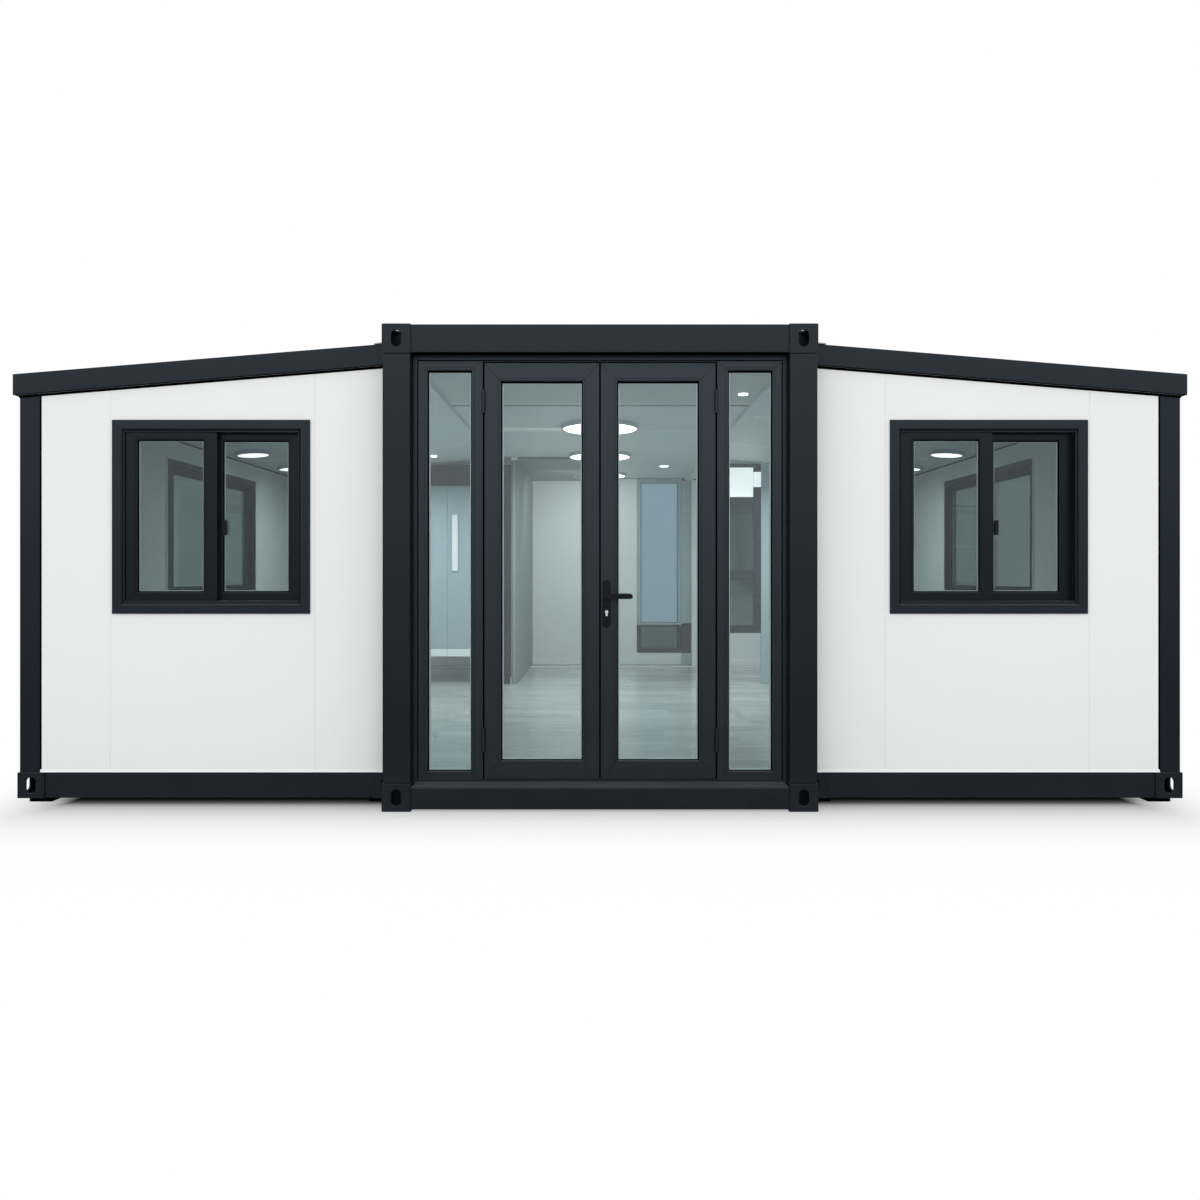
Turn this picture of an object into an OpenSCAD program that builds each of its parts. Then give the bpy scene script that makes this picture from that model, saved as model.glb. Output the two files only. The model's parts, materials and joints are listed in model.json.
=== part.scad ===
/* [Centre module] */
// Length of the centre module, front to rear, over its castings
module_l = 5900; // [4800:10:7200]
// Width of the centre module over its castings
module_w = 2218; // [2120:1:2420]
// Height of the centre module over its castings
module_h = 2480; // [2440:1:2700]

/* [Corner castings] */
// Width of a corner casting across the front
casting_w = 147; // [120:1:180]
// Depth of a corner casting, front to rear
casting_d = 160; // [130:1:190]
// Height of a top corner casting
casting_top_h = 150; // [110:1:180]
// Height of a bottom corner casting
casting_bottom_h = 142; // [110:1:152]
// Wall of every casting
casting_wall = 10; // [6:1:14]
// How far a casting stands proud of its post and beams
casting_proud = 3; // [1:0.5:6]
// Width of a lifting slot
slot_w = 52; // [40:1:60]
// Length of a lifting slot
slot_l = 86; // [70:1:94]
// Width of the slot in the top face of a casting
top_slot_w = 62; // [50:1:80]
// Length of the slot in the top face of a casting
top_slot_l = 118; // [90:1:124]

/* [Beams and rails] */
// Height of the face of a top cross beam
top_beam_h = 144; // [120:1:160]
// Height of the face of a bottom cross beam
bottom_beam_h = 111; // [90:1:125]
// Gap between the ground and a bottom beam
bottom_beam_z = 11; // [5:1:25]
// Width of a side rail of the module
rail_w = 60; // [40:1:90]
// Thickness of a floor deck
deck_t = 34; // [18:1:60]
// Thickness of the centre roof panel
roof_panel_t = 100; // [60:1:130]

/* [Door unit] */
// How far the door unit and the rear wall sit behind the face of the portal
door_setback = 60; // [40:1:80]
// Width of the outer strip of the door unit
strip_w = 24; // [15:1:35]
// Width of the shadow groove inside the strip
groove_w = 6; // [3:1:12]
// Depth of the shadow groove
groove_d = 18; // [8:1:30]
// Face width of the outer stile and rails of a sidelight
sidelight_frame_w = 48; // [35:1:60]
// Width of the mullion between a sidelight and its door leaf
mullion_w = 57; // [45:1:75]
// Width of the stop that a closed leaf meets
stop_w = 21; // [15:1:26]
// Thickness of an insulating glass pane
pane_t = 20; // [6:1:30]

/* [Door leaves] */
// Width of a door leaf
leaf_w = 590; // [450:1:620]
// Thickness of a door leaf
leaf_t = 50; // [40:1:54]
// Width of a stile of a leaf
stile_w = 85; // [70:1:110]
// Height of the top and bottom rails of a leaf
leaf_rail_h = 94; // [70:1:130]
// Gap around a leaf, at its hinges, head and sill
leaf_gap = 9; // [7:1:12]
// Gap between the two meeting stiles
meeting_gap = 8; // [8:1:12]
// Gap between the back of a leaf and its stop
stop_gap = 5; // [5:1:8]

/* [Hinges] */
// Diameter of a hinge barrel
barrel_d = 18; // [14:1:22]
// Length of a hinge
hinge_h = 120; // [80:1:160]
// Height of a hinge's centre from the end of its leaf
hinge_inset = 200; // [150:1:300]
// Diameter of a hinge pin
pin_d = 8; // [6:0.5:9]
// Radial clearance of a hinge pin
pin_gap = 0.05; // [0.02:0.01:0.1]
// Gap between two knuckles
knuckle_gap = 0.6; // [0.4:0.1:1]

/* [Lever handle] */
// Height of the lever's pivot above the ground
lever_z = 1093; // [950:1:1150]
// Distance from the leaf's meeting edge to the lever's pivot
lever_inset = 30; // [26:1:40]
// Width of the backplate
backplate_w = 41; // [34:1:50]
// Height of the backplate
backplate_h = 244; // [200:1:280]
// Thickness of the backplate
backplate_t = 8; // [5:1:12]
// Distance from the lever's pivot to the backplate's top
backplate_above = 84; // [60:1:100]
// Distance from the lever's pivot down to the lock cylinder
lock_drop = 80; // [70:1:92]
// Length of the lever's grip
grip_l = 147; // [110:1:170]
// Height of the lever's grip
grip_h = 26; // [18:1:32]
// Thickness of the lever's grip
grip_t = 16; // [10:1:22]
// How far the lever's grip stands off the backplate
grip_standoff = 30; // [22:1:45]
// Diameter of the spindle through the leaf
spindle_d = 9; // [7:0.5:12]
// Clearance around the spindle and behind the lever
lever_gap = 0.5; // [0.3:0.1:1]

/* [Rear wall] */
// Thickness of every insulated wall panel
wall_t = 75; // [50:1:90]
// Hairline joint between two wall panels
panel_joint = 0.4; // [0.2:0.1:2]
// Width of the narrow rear panel
rear_narrow_w = 208; // [120:1:300]
// Width of the tall fixed light in the rear wall
rear_light_w = 534; // [400:1:620]
// Height of the sill of the rear light
rear_light_sill = 290; // [220:1:400]
// Face width of the rear light's frame
rear_light_frame_w = 48; // [35:1:60]
// Height of the rear light's transom above the ground
rear_transom_z = 620; // [560:1:900]
// Length of the partition along the left wing
partition_l = 1860; // [1200:10:2400]
// Thickness of the partition
partition_t = 60; // [40:1:80]
// Distance of the partition's face from the centre line
partition_x = 790; // [700:1:880]

/* [Wings] */
// Distance from the centre line to the fold line of a wing
fold_x = 1062; // [1050:1:1090]
// Distance from the centre line to the outer face of a wing
wing_x = 3079; // [2900:1:3300]
// How far a wing's end wall sits behind the front of the module
wing_setback = 200; // [198:1:300]
// Width of a wing's corner post
wing_post_w = 108; // [90:1:130]
// Height of a foot under a wing
foot_h = 20; // [10:1:40]
// Width and depth of a foot
foot_w = 120; // [100:1:140]
// How far the inner foot reaches under the corner next to the module
foot_tuck = 100; // [60:1:140]
// Distance from a wing's outer end to its foot
foot_inset = 60; // [30:1:90]
// Height of a wing's base beams
base_h = 136; // [120:1:150]
// Depth of a wing's base beams
base_beam_d = 60; // [50:1:75]
// Width and depth of a wing's corner casting
wing_casting_w = 142; // [130:1:160]
// How far a wing's casting stands proud of its post and walls
wing_casting_proud = 8; // [3:1:12]
// Width of the panel next to the module, from the fold line
inner_panel_w = 451; // [380:1:470]
// Width of the panel that holds a wing's window
window_panel_w = 1085; // [1060:1:1200]

/* [Wing roofs] */
// How far the top of a wing's roof lies under the module's top at the fold line
roof_drop = 50; // [44:1:70]
// How far a wing's roof falls from the fold line to its outer edge
roof_fall = 166; // [80:1:200]
// Height of the fascia
fascia_h = 111; // [95:1:125]
// Thickness of the fascia
fascia_t = 18; // [15:1:22]
// Overhang of a wing's roof
overhang = 23; // [23:1:39]
// Height of the seal between a wall and the roof
seal_h = 13; // [8:1:20]
// Clearance between a wing's roof and what stands or hangs under it
roof_gap = 0.2; // [0.1:0.1:0.5]
// Clearance between a wall's top and its seal
seal_gap = 0.3; // [0.2:0.1:1]
// How far the seal sits behind the wall's face
seal_inset = 8; // [4:1:15]

/* [Windows] */
// Width of an end wall's window over its trim
window_w = 1048; // [900:1:1060]
// Width of a side wall's window over its trim
side_window_w = 1560; // [1200:1:1560]
// Height of every window over its trim
window_h = 1028; // [800:1:1080]
// How far the head of every window lies under the module's top
window_drop = 455; // [430:1:520]
// Distance from the centre line to the middle of an end wall's window
window_x = 2061; // [2058:1:2064]
// Place of the middle of a side wall's window, from the middle of the house
side_window_y = -570; // [-900:1:0]
// Face width of a window's trim
trim_w = 52; // [45:1:60]
// How far the trim stands proud of the wall
trim_proud = 12; // [6:1:20]
// How far the trim covers the wall around its opening
trim_lap = 20; // [12:1:26]
// Gap between a window and the opening in its wall
window_fit = 2; // [0.5:0.5:4]
// Width of a sash's stiles
sash_stile_w = 70; // [50:1:80]
// Height of a sash's rails
sash_rail_h = 46; // [35:1:60]
// Thickness of a sash
sash_t = 28; // [20:1:30]
// Height of the sash track
track_h = 18; // [10:1:25]
// Gap around a sash
sash_gap = 6; // [3:1:8]
// How far a sash runs past the middle of its window
sash_lap = 26; // [15:1:40]
// Thickness of the glass in a sash
sash_glass_t = 6; // [4:1:12]

/* [Ceiling lamps] */
// Diameter of a centre lamp
lamp_d = 590; // [300:1:700]
// Distance from the rear wall to the middle of the nearest centre lamp
lamp_inset = 475; // [380:1:700]
// Diameter of a wing lamp
wing_lamp_d = 270; // [200:1:320]
// Distance from the centre line to a wing lamp
wing_lamp_x = 2760; // [1700:1:2820]
// Distance from a wing's end wall to the middle of the nearest wing lamp
wing_lamp_inset = 2225; // [1200:1:2400]
// Thickness of a lamp
lamp_t = 30; // [20:1:50]

/* [Hidden] */

anthracite = "#2c3138";
black_steel = "#1f2327";
panel_white = "#e8eae9";
deck_grey = "#a9adab";
clear_glass = [0.62, 0.70, 0.72, 0.35];
bare_steel = "#c6c8ca";
seal_black = "#141619";
lamp_white = "#fdfdf8";
$fn = 48;

// Module
end_y = module_l / 2;
casting_out_x = module_w / 2;
casting_in_x = casting_out_x - casting_w;
post_out_x = casting_out_x - casting_proud;
post_in_x = casting_in_x + casting_proud;
portal_face_y = end_y - casting_proud;
portal_back_y = end_y - casting_d + casting_proud;
rail_end_y = end_y - casting_d;
ceiling_z = module_h - casting_proud - top_beam_h;
sill_z = bottom_beam_z + bottom_beam_h;
rail_in_x = fold_x - rail_w;

// Door unit, front face at unit_y and back face at unit_y - wall_t
unit_y = end_y - door_setback;
unit_back_y = unit_y - wall_t;
unit_out_x = casting_in_x;
side_strip_w = strip_w - casting_proud;
unit_in_z = sill_z + strip_w;
unit_head_z = ceiling_z - strip_w - groove_w;
sidelight_out_x = post_in_x - strip_w - groove_w;
leaf_in_x = meeting_gap / 2;
leaf_out_x = leaf_in_x + leaf_w;
mullion_x = leaf_out_x + leaf_gap;
leaf_bottom_z = unit_in_z + leaf_gap;
leaf_top_z = unit_head_z - leaf_gap;
leaf_back_y = unit_y - leaf_t;
stop_y = leaf_back_y - stop_gap;
hinge_x = leaf_out_x + leaf_gap / 2;
hinge_y = unit_y + barrel_d / 2;
knuckle_h = (hinge_h - 2 * knuckle_gap) / 3;
lug_t = 4;
lug_l = barrel_d / 2 + 8;
lever_x = leaf_in_x + lever_inset;
plate_face_y = unit_y + backplate_t;
backplate_z = lever_z + backplate_above - backplate_h / 2;
lock_head_d = 17;
lock_tail_w = 10;
lock_proud = 4;
neck_d = 20;

// Rear wall
rear_light_in_x = post_in_x - rear_light_w;
rear_seam_x = -post_in_x + rear_narrow_w;
transom_h = 40;

// Wings
wing_y = end_y - wing_setback;
floor_z = foot_h + base_h;
deck_z = floor_z - deck_t;
wing_casting_out_x = wing_x + wing_casting_proud;
wing_casting_out_y = wing_y + wing_casting_proud;
wing_casting_in_y = wing_casting_out_y - wing_casting_w;
post_inner_x = wing_x - wing_post_w;
post_inner_y = wing_y - wing_post_w;
roof_edge_x = wing_x + overhang;
roof_high_z = module_h - roof_drop;
roof_slope = roof_fall / (roof_edge_x - fold_x);
inner_seam_x = fold_x + inner_panel_w;
outer_seam_x = inner_seam_x + window_panel_w;
window_sill = module_h - window_drop - window_h;
hole_sill_z = window_sill + trim_lap - window_fit;
hole_head_z = window_sill + window_h - trim_lap + window_fit;

// Windows, in their own frame: the wall's face at y = 0, the room at y > 0
sash_y = [sash_gap, 2 * sash_gap + sash_t];
track_z = window_sill + trim_w + track_h;
sash_h = window_h - 2 * trim_w - track_h - sash_gap;
window_d = 3 * sash_gap + 2 * sash_t;

function roof_top(x) = roof_high_z - (x - fold_x) * roof_slope;
function roof_under(x) = roof_top(x) - fascia_h;
function roof_seat(x) = roof_under(x) - roof_gap;
function wall_top(x) = roof_under(x) - seal_h;
function hole_w(w) = w - 2 * trim_lap + 2 * window_fit;
function sash_w(w) = w / 2 - trim_w - sash_gap + sash_lap;

module block(x, y, z) {
    translate([x[0], y[0], z[0]]) cube([x[1] - x[0], y[1] - y[0], z[1] - z[0]]);
}

module both_sides() {
    children();
    mirror([1, 0, 0]) children();
}

module both_ends() {
    children();
    mirror([0, 1, 0]) children();
}

// A prism of constant section along the house, from y[0] to y[1]
module along_y(y) {
    translate([0, y[1], 0]) rotate([90, 0, 0]) linear_extrude(y[1] - y[0]) children();
}

// A rectangular ring that stands upright, with its own width on each member
module upright_ring(x, y, z, left, right, bottom, top) {
    difference() {
        block(x, y, z);
        block([x[0] + left, x[1] - right], [y[0] - 1, y[1] + 1], [z[0] + bottom, z[1] - top]);
    }
}

module slot_outline(w, l) {
    for (end = [-1, 1]) translate([0, end * (l - w) / 2]) circle(d = w);
    square([w, l - w], center = true);
}

// A hollow corner casting at the right front corner of its frame
module casting(out_x, out_y, z, w, d, h, side_slot = true, top_slot = false) {
    cut = 2 * casting_wall;
    difference() {
        block([out_x - w, out_x], [-out_y, d - out_y], [z, z + h]);
        block([out_x - w + casting_wall, out_x - casting_wall],
              [casting_wall - out_y, d - out_y - casting_wall],
              [z + casting_wall, z + h - casting_wall]);
        translate([out_x - w / 2, -out_y, z + h / 2]) rotate([90, 0, 0])
            linear_extrude(cut, center = true) slot_outline(slot_w, slot_l);
        if (side_slot)
            translate([out_x, d / 2 - out_y, z + h / 2]) rotate([90, 0, 90])
                linear_extrude(cut, center = true) slot_outline(slot_w, slot_l);
        if (top_slot)
            translate([out_x - w / 2, d / 2 - out_y, z + h])
                linear_extrude(cut, center = true) slot_outline(top_slot_w, top_slot_l);
    }
}

module portal_posts() {
    color(anthracite) both_sides() both_ends()
        block([post_in_x, post_out_x], [-portal_face_y, -portal_back_y],
              [casting_bottom_h, module_h - casting_top_h]);
}

module top_cross_beams() {
    color(anthracite) both_ends()
        block([-casting_in_x, casting_in_x], [-portal_face_y, -portal_back_y],
              [ceiling_z, ceiling_z + top_beam_h]);
}

module bottom_cross_beams() {
    color(black_steel) both_ends()
        block([-casting_in_x, casting_in_x], [-portal_face_y, -portal_back_y], [bottom_beam_z, sill_z]);
}

module top_castings() {
    color(anthracite) both_sides() both_ends()
        casting(casting_out_x, end_y, module_h - casting_top_h, casting_w, casting_d, casting_top_h,
                top_slot = true);
}

module bottom_castings() {
    color(black_steel) both_sides() both_ends()
        casting(casting_out_x, end_y, 0, casting_w, casting_d, casting_bottom_h);
}

module side_rails() {
    color(anthracite) both_sides() {
        block([rail_in_x, fold_x], [-rail_end_y, rail_end_y], [ceiling_z, ceiling_z + top_beam_h]);
        block([rail_in_x, fold_x], [-rail_end_y, rail_end_y], [bottom_beam_z, deck_z]);
    }
}

module centre_floor() {
    color(deck_grey) {
        block([-fold_x, fold_x], [-rail_end_y, rail_end_y], [deck_z, floor_z]);
        block([-casting_in_x, casting_in_x], [-unit_back_y, unit_back_y], [deck_z, floor_z]);
    }
}

module centre_roof() {
    roof_z = [ceiling_z, ceiling_z + roof_panel_t];
    color(panel_white) {
        block([-rail_in_x, rail_in_x], [-rail_end_y, rail_end_y], roof_z);
        block([-casting_in_x, casting_in_x], [-portal_back_y, portal_back_y], roof_z);
    }
}

module door_frame() {
    color(anthracite) {
        upright_ring([-unit_out_x, unit_out_x], [-unit_y, groove_d - unit_y], [sill_z, ceiling_z],
                     side_strip_w, side_strip_w, strip_w, strip_w);
        upright_ring([-unit_out_x, unit_out_x], [groove_d - unit_y, -unit_back_y], [sill_z, ceiling_z],
                     side_strip_w + groove_w, side_strip_w + groove_w, strip_w, strip_w + groove_w);
        block([-mullion_x, mullion_x], [-stop_y, -unit_back_y], [unit_in_z, unit_in_z + stop_w]);
        block([-mullion_x, mullion_x], [-stop_y, -unit_back_y], [unit_head_z - stop_w, unit_head_z]);
    }
}

module sidelight_frames() {
    color(anthracite) both_sides() {
        upright_ring([mullion_x, sidelight_out_x], [-unit_y, -unit_back_y], [unit_in_z, unit_head_z],
                     mullion_w, sidelight_frame_w, sidelight_frame_w, sidelight_frame_w);
        block([mullion_x - stop_w, mullion_x], [-stop_y, -unit_back_y],
              [unit_in_z + stop_w, unit_head_z - stop_w]);
    }
}

// A pane centred in the thickness of a leaf, so that all glass lies in one plane
module unit_pane(x, z) {
    middle_y = -unit_y + leaf_t / 2;
    color(clear_glass) block(x, [middle_y - pane_t / 2, middle_y + pane_t / 2], z);
}

module sidelight_glass() {
    both_sides()
        unit_pane([mullion_x + mullion_w, sidelight_out_x - sidelight_frame_w],
                  [unit_in_z + sidelight_frame_w, unit_head_z - sidelight_frame_w]);
}

module leaf() {
    color(anthracite)
        upright_ring([leaf_in_x, leaf_out_x], [-unit_y, -leaf_back_y], [leaf_bottom_z, leaf_top_z],
                     stile_w, stile_w, leaf_rail_h, leaf_rail_h);
}

module leaf_glass() {
    unit_pane([leaf_in_x + stile_w, leaf_out_x - stile_w],
              [leaf_bottom_z + leaf_rail_h, leaf_top_z - leaf_rail_h]);
}

// Middle heights of the two hinges of a leaf
module at_hinges() {
    for (z = [leaf_bottom_z + hinge_inset, leaf_top_z - hinge_inset])
        translate([hinge_x, -hinge_y, z - hinge_h / 2]) children();
}

// The fixed knuckles, with the pin that the leaf's knuckle turns on
module frame_hinge() {
    cylinder(d = pin_d, h = hinge_h);
    for (z = [0, hinge_h - knuckle_h]) translate([0, 0, z]) {
        cylinder(d = barrel_d, h = knuckle_h);
        translate([0, barrel_d / 2 - lug_t, 0]) cube([lug_l, lug_t, knuckle_h]);
    }
}

module leaf_hinge() {
    translate([0, 0, knuckle_h + knuckle_gap]) difference() {
        union() {
            cylinder(d = barrel_d, h = knuckle_h);
            translate([-lug_l, barrel_d / 2 - lug_t, 0]) cube([lug_l, lug_t, knuckle_h]);
        }
        translate([0, 0, -1]) cylinder(d = pin_d + 2 * pin_gap, h = knuckle_h + 2);
    }
}

module frame_hinges() {
    color(black_steel) both_sides() at_hinges() frame_hinge();
}

module left_leaf() {
    mirror([1, 0, 0]) leaf();
}

module left_leaf_glass() {
    mirror([1, 0, 0]) leaf_glass();
}

module left_leaf_hinges() {
    color(black_steel) mirror([1, 0, 0]) at_hinges() leaf_hinge();
}

module right_leaf() {
    color(anthracite) difference() {
        leaf();
        translate([lever_x, -unit_y + leaf_t / 2, lever_z]) rotate([90, 0, 0])
            cylinder(d = spindle_d + 2 * lever_gap, h = leaf_t + 2, center = true);
    }
}

module right_leaf_glass() {
    leaf_glass();
}

module right_leaf_hinges() {
    color(black_steel) at_hinges() leaf_hinge();
}

// Plates on both faces of the right leaf
module backplates() {
    color(black_steel) for (y = [-unit_y, backplate_t - leaf_back_y]) difference() {
        translate([lever_x, y, backplate_z]) rotate([90, 0, 0])
            linear_extrude(backplate_t) slot_outline(backplate_w, backplate_h);
        translate([lever_x, y + 1, lever_z]) rotate([90, 0, 0])
            cylinder(d = spindle_d + 2 * lever_gap, h = backplate_t + 2);
    }
}

// The key side of the lock, on the outer plate
module lock_cylinder() {
    tail_l = 16;
    color(bare_steel) translate([lever_x, -plate_face_y, lever_z - lock_drop]) rotate([90, 0, 0])
        linear_extrude(lock_proud) {
            circle(d = lock_head_d);
            translate([-lock_tail_w / 2, -tail_l - lock_tail_w / 2]) square([lock_tail_w, tail_l]);
        }
}

// One side of the lever, from its plate's face at y = 0 towards -y
module lever_side() {
    translate([0, -lever_gap, 0]) rotate([90, 0, 0]) cylinder(d = neck_d, h = grip_standoff);
    translate([grip_l / 2 - grip_h / 2, -lever_gap - grip_standoff + grip_t, 0])
        rotate([90, 0, 0]) linear_extrude(grip_t) rotate(90) slot_outline(grip_h, grip_l);
}

module lever_handle() {
    back_face_y = leaf_back_y - backplate_t;
    color(black_steel) {
        translate([lever_x, -plate_face_y, lever_z]) lever_side();
        translate([lever_x, -back_face_y, lever_z]) mirror([0, 1, 0]) lever_side();
        translate([lever_x, -back_face_y + lever_gap, lever_z]) rotate([90, 0, 0])
            cylinder(d = spindle_d, h = plate_face_y - back_face_y + 2 * lever_gap);
    }
}

module rear_wall() {
    y = [unit_back_y, unit_y];
    color(panel_white) {
        block([-unit_out_x, rear_seam_x - panel_joint], y, [sill_z, ceiling_z]);
        block([rear_seam_x, rear_light_in_x], y, [sill_z, ceiling_z]);
        block([rear_light_in_x + panel_joint, unit_out_x], y, [sill_z, rear_light_sill]);
    }
}

module rear_light_frame() {
    w = rear_light_frame_w;
    x = [rear_light_in_x, unit_out_x];
    y = [unit_back_y, unit_y];
    color(anthracite) {
        upright_ring(x, y, [rear_light_sill, ceiling_z], w, w, w, w);
        block(x, y, [rear_transom_z - transom_h / 2, rear_transom_z + transom_h / 2]);
    }
}

module rear_light_glass() {
    w = rear_light_frame_w;
    x = [rear_light_in_x + w, unit_out_x - w];
    y = [unit_y - wall_t / 2 - pane_t / 2, unit_y - wall_t / 2 + pane_t / 2];
    color(clear_glass) {
        block(x, y, [rear_light_sill + w, rear_transom_z - transom_h / 2]);
        block(x, y, [rear_transom_z + transom_h / 2, ceiling_z - w]);
    }
}

module partition() {
    color(panel_white)
        block([-partition_x - partition_t, -partition_x], [unit_back_y - partition_l, unit_back_y],
              [floor_z, ceiling_z]);
}

module wing_base_beams() {
    beam_z = [foot_h, floor_z];
    color(black_steel) both_sides() {
        both_ends()
            block([fold_x + wing_casting_w, wing_casting_out_x - wing_casting_w],
                  [-wing_y, base_beam_d - wing_y], beam_z);
        block([wing_x - base_beam_d, wing_x], [-wing_casting_in_y, wing_casting_in_y], beam_z);
        block([fold_x, fold_x + base_beam_d], [-wing_casting_in_y, wing_casting_in_y], [foot_h, deck_z]);
    }
}

module wing_castings() {
    w = wing_casting_w;
    color(black_steel) both_sides() both_ends() {
        casting(wing_casting_out_x, wing_casting_out_y, foot_h, w, w, base_h);
        casting(fold_x + w, wing_casting_out_y, foot_h, w, w, base_h, side_slot = false);
    }
}

module wing_feet() {
    color(black_steel) both_sides() both_ends()
        for (x = [fold_x + wing_casting_w - foot_tuck, wing_casting_out_x - foot_inset - foot_w])
            block([x, x + foot_w], [-wing_y, foot_w - wing_y], [0, foot_h]);
}

module wing_floors() {
    color(deck_grey) both_sides() {
        block([fold_x, wing_x - base_beam_d], [-wing_casting_in_y, wing_casting_in_y], [deck_z, floor_z]);
        block([fold_x + wing_casting_w, wing_casting_out_x - wing_casting_w],
              [base_beam_d - wing_y, wing_y - base_beam_d], [deck_z, floor_z]);
    }
}

module wing_posts() {
    color(anthracite) both_sides() both_ends()
        along_y([-wing_y, -post_inner_y])
            polygon([[post_inner_x, floor_z], [wing_x, floor_z],
                     [wing_x, roof_seat(wing_x)], [post_inner_x, roof_seat(post_inner_x)]]);
}

// Outline of a stretch of end wall under the sloping roof
module end_wall_outline(x) {
    polygon([[x[0], floor_z], [x[1], floor_z], [x[1], wall_top(x[1])], [x[0], wall_top(x[0])]]);
}

// The end wall at the right front corner, with its window's opening
module end_wall() {
    y = [-wing_y, wall_t - wing_y];
    color(panel_white) {
        along_y(y) end_wall_outline([fold_x, inner_seam_x - panel_joint / 2]);
        along_y(y) difference() {
            end_wall_outline([inner_seam_x + panel_joint / 2, outer_seam_x - panel_joint / 2]);
            translate([window_x - hole_w(window_w) / 2, hole_sill_z])
                square([hole_w(window_w), hole_head_z - hole_sill_z]);
        }
        along_y(y) end_wall_outline([outer_seam_x + panel_joint / 2, post_inner_x]);
    }
}

module right_front_wall() {
    end_wall();
}

module left_front_wall() {
    mirror([1, 0, 0]) end_wall();
}

module right_rear_wall() {
    mirror([0, 1, 0]) end_wall();
}

module left_rear_wall() {
    mirror([1, 0, 0]) mirror([0, 1, 0]) end_wall();
}

// A stretch of side wall, from z up to the roof's seal
module side_panel(y, z) {
    x = [wing_x - wall_t, wing_x];
    color(panel_white) along_y([y[0] + panel_joint / 2, y[1] - panel_joint / 2])
        polygon([[x[0], z], [x[1], z], [x[1], wall_top(x[1])], [x[0], wall_top(x[0])]]);
}

// The side wall at the right, split at its window's opening
module right_side_wall() {
    hole_y = [side_window_y - hole_w(side_window_w) / 2, side_window_y + hole_w(side_window_w) / 2];
    seam_y = (hole_y[1] + post_inner_y) / 2;
    side_panel([-post_inner_y, hole_y[0]], floor_z);
    side_panel([hole_y[1], seam_y], floor_z);
    side_panel([seam_y, post_inner_y], floor_z);
    side_panel(hole_y, hole_head_z);
    color(panel_white)
        block([wing_x - wall_t, wing_x], [hole_y[0] + panel_joint / 2, hole_y[1] - panel_joint / 2],
              [floor_z, hole_sill_z]);
}

module left_side_wall() {
    mirror([1, 0, 0]) right_side_wall();
}

// Outline of the seal over a stretch of wall
module seal_outline(x) {
    polygon([[x[0], wall_top(x[0]) + seal_gap], [x[1], wall_top(x[1]) + seal_gap],
             [x[1], roof_seat(x[1])], [x[0], roof_seat(x[0])]]);
}

module wall_seals() {
    color(seal_black) both_sides() {
        both_ends()
            along_y([seal_inset - wing_y, wall_t - seal_inset - wing_y]) seal_outline([fold_x, post_inner_x]);
        along_y([-post_inner_y, post_inner_y])
            seal_outline([wing_x - wall_t + seal_inset, wing_x - seal_inset]);
    }
}

// Outline of a stretch of the wing's roof
module roof_outline(x) {
    polygon([[x[0], roof_under(x[0])], [x[1], roof_under(x[1])], [x[1], roof_top(x[1])], [x[0], roof_top(x[0])]]);
}

module wing_roofs() {
    end = wing_y + overhang - fascia_t;
    color(panel_white) both_sides() along_y([-end, end]) roof_outline([fold_x, roof_edge_x - fascia_t]);
}

module wing_fascias() {
    face = wing_y + overhang;
    end = face - fascia_t - panel_joint;
    color(anthracite) both_sides() {
        both_ends() along_y([-face, fascia_t - face]) roof_outline([fold_x, roof_edge_x]);
        along_y([-end, end]) roof_outline([roof_edge_x - fascia_t, roof_edge_x]);
    }
}

// Sets the children at each window, with its width over the trim in $w
module at_windows() {
    for (side = [-1, 1]) {
        $w = window_w;
        translate([side * window_x, -wing_y, 0]) children();
        translate([side * window_x, wing_y, 0]) rotate(180) children();
    }
    for (side = [-1, 1]) {
        $w = side_window_w;
        translate([side * wing_x, side_window_y, 0]) rotate(side * 90) children();
    }
}

module window_frames() {
    color(anthracite) at_windows() {
        inner_w = $w - 2 * trim_w;
        rim = trim_w - trim_lap;
        upright_ring([-$w / 2, $w / 2], [-trim_proud, 0], [window_sill, window_sill + window_h],
                     trim_w, trim_w, trim_w, trim_w);
        upright_ring([-inner_w / 2 - rim, inner_w / 2 + rim], [0, window_d],
                     [window_sill + trim_lap, window_sill + window_h - trim_lap],
                     rim, rim, rim + track_h, rim);
    }
}

// A sash at one side of its window: -1 is left and 1 is right, seen from outside
module sash(side, y) {
    x = side * ($w / 2 - trim_w - sash_gap - sash_w($w) / 2);
    translate([x, y, track_z])
        upright_ring([-sash_w($w) / 2, sash_w($w) / 2], [0, sash_t], [0, sash_h],
                     sash_stile_w, sash_stile_w, sash_rail_h, sash_rail_h);
}

module outer_sashes() {
    color(anthracite) at_windows() sash(-1, sash_y[0]);
}

module inner_sashes() {
    color(anthracite) at_windows() sash(1, sash_y[1]);
}

module sash_glass() {
    color(clear_glass) at_windows() for (side = [-1, 1]) {
        glass_w = sash_w($w) - 2 * sash_stile_w;
        x = side * ($w / 2 - trim_w - sash_gap - sash_w($w) / 2);
        y = (side < 0 ? sash_y[0] : sash_y[1]) + (sash_t - sash_glass_t) / 2;
        block([x - glass_w / 2, x + glass_w / 2], [y, y + sash_glass_t],
              [track_z + sash_rail_h, track_z + sash_h - sash_rail_h]);
    }
}

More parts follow.
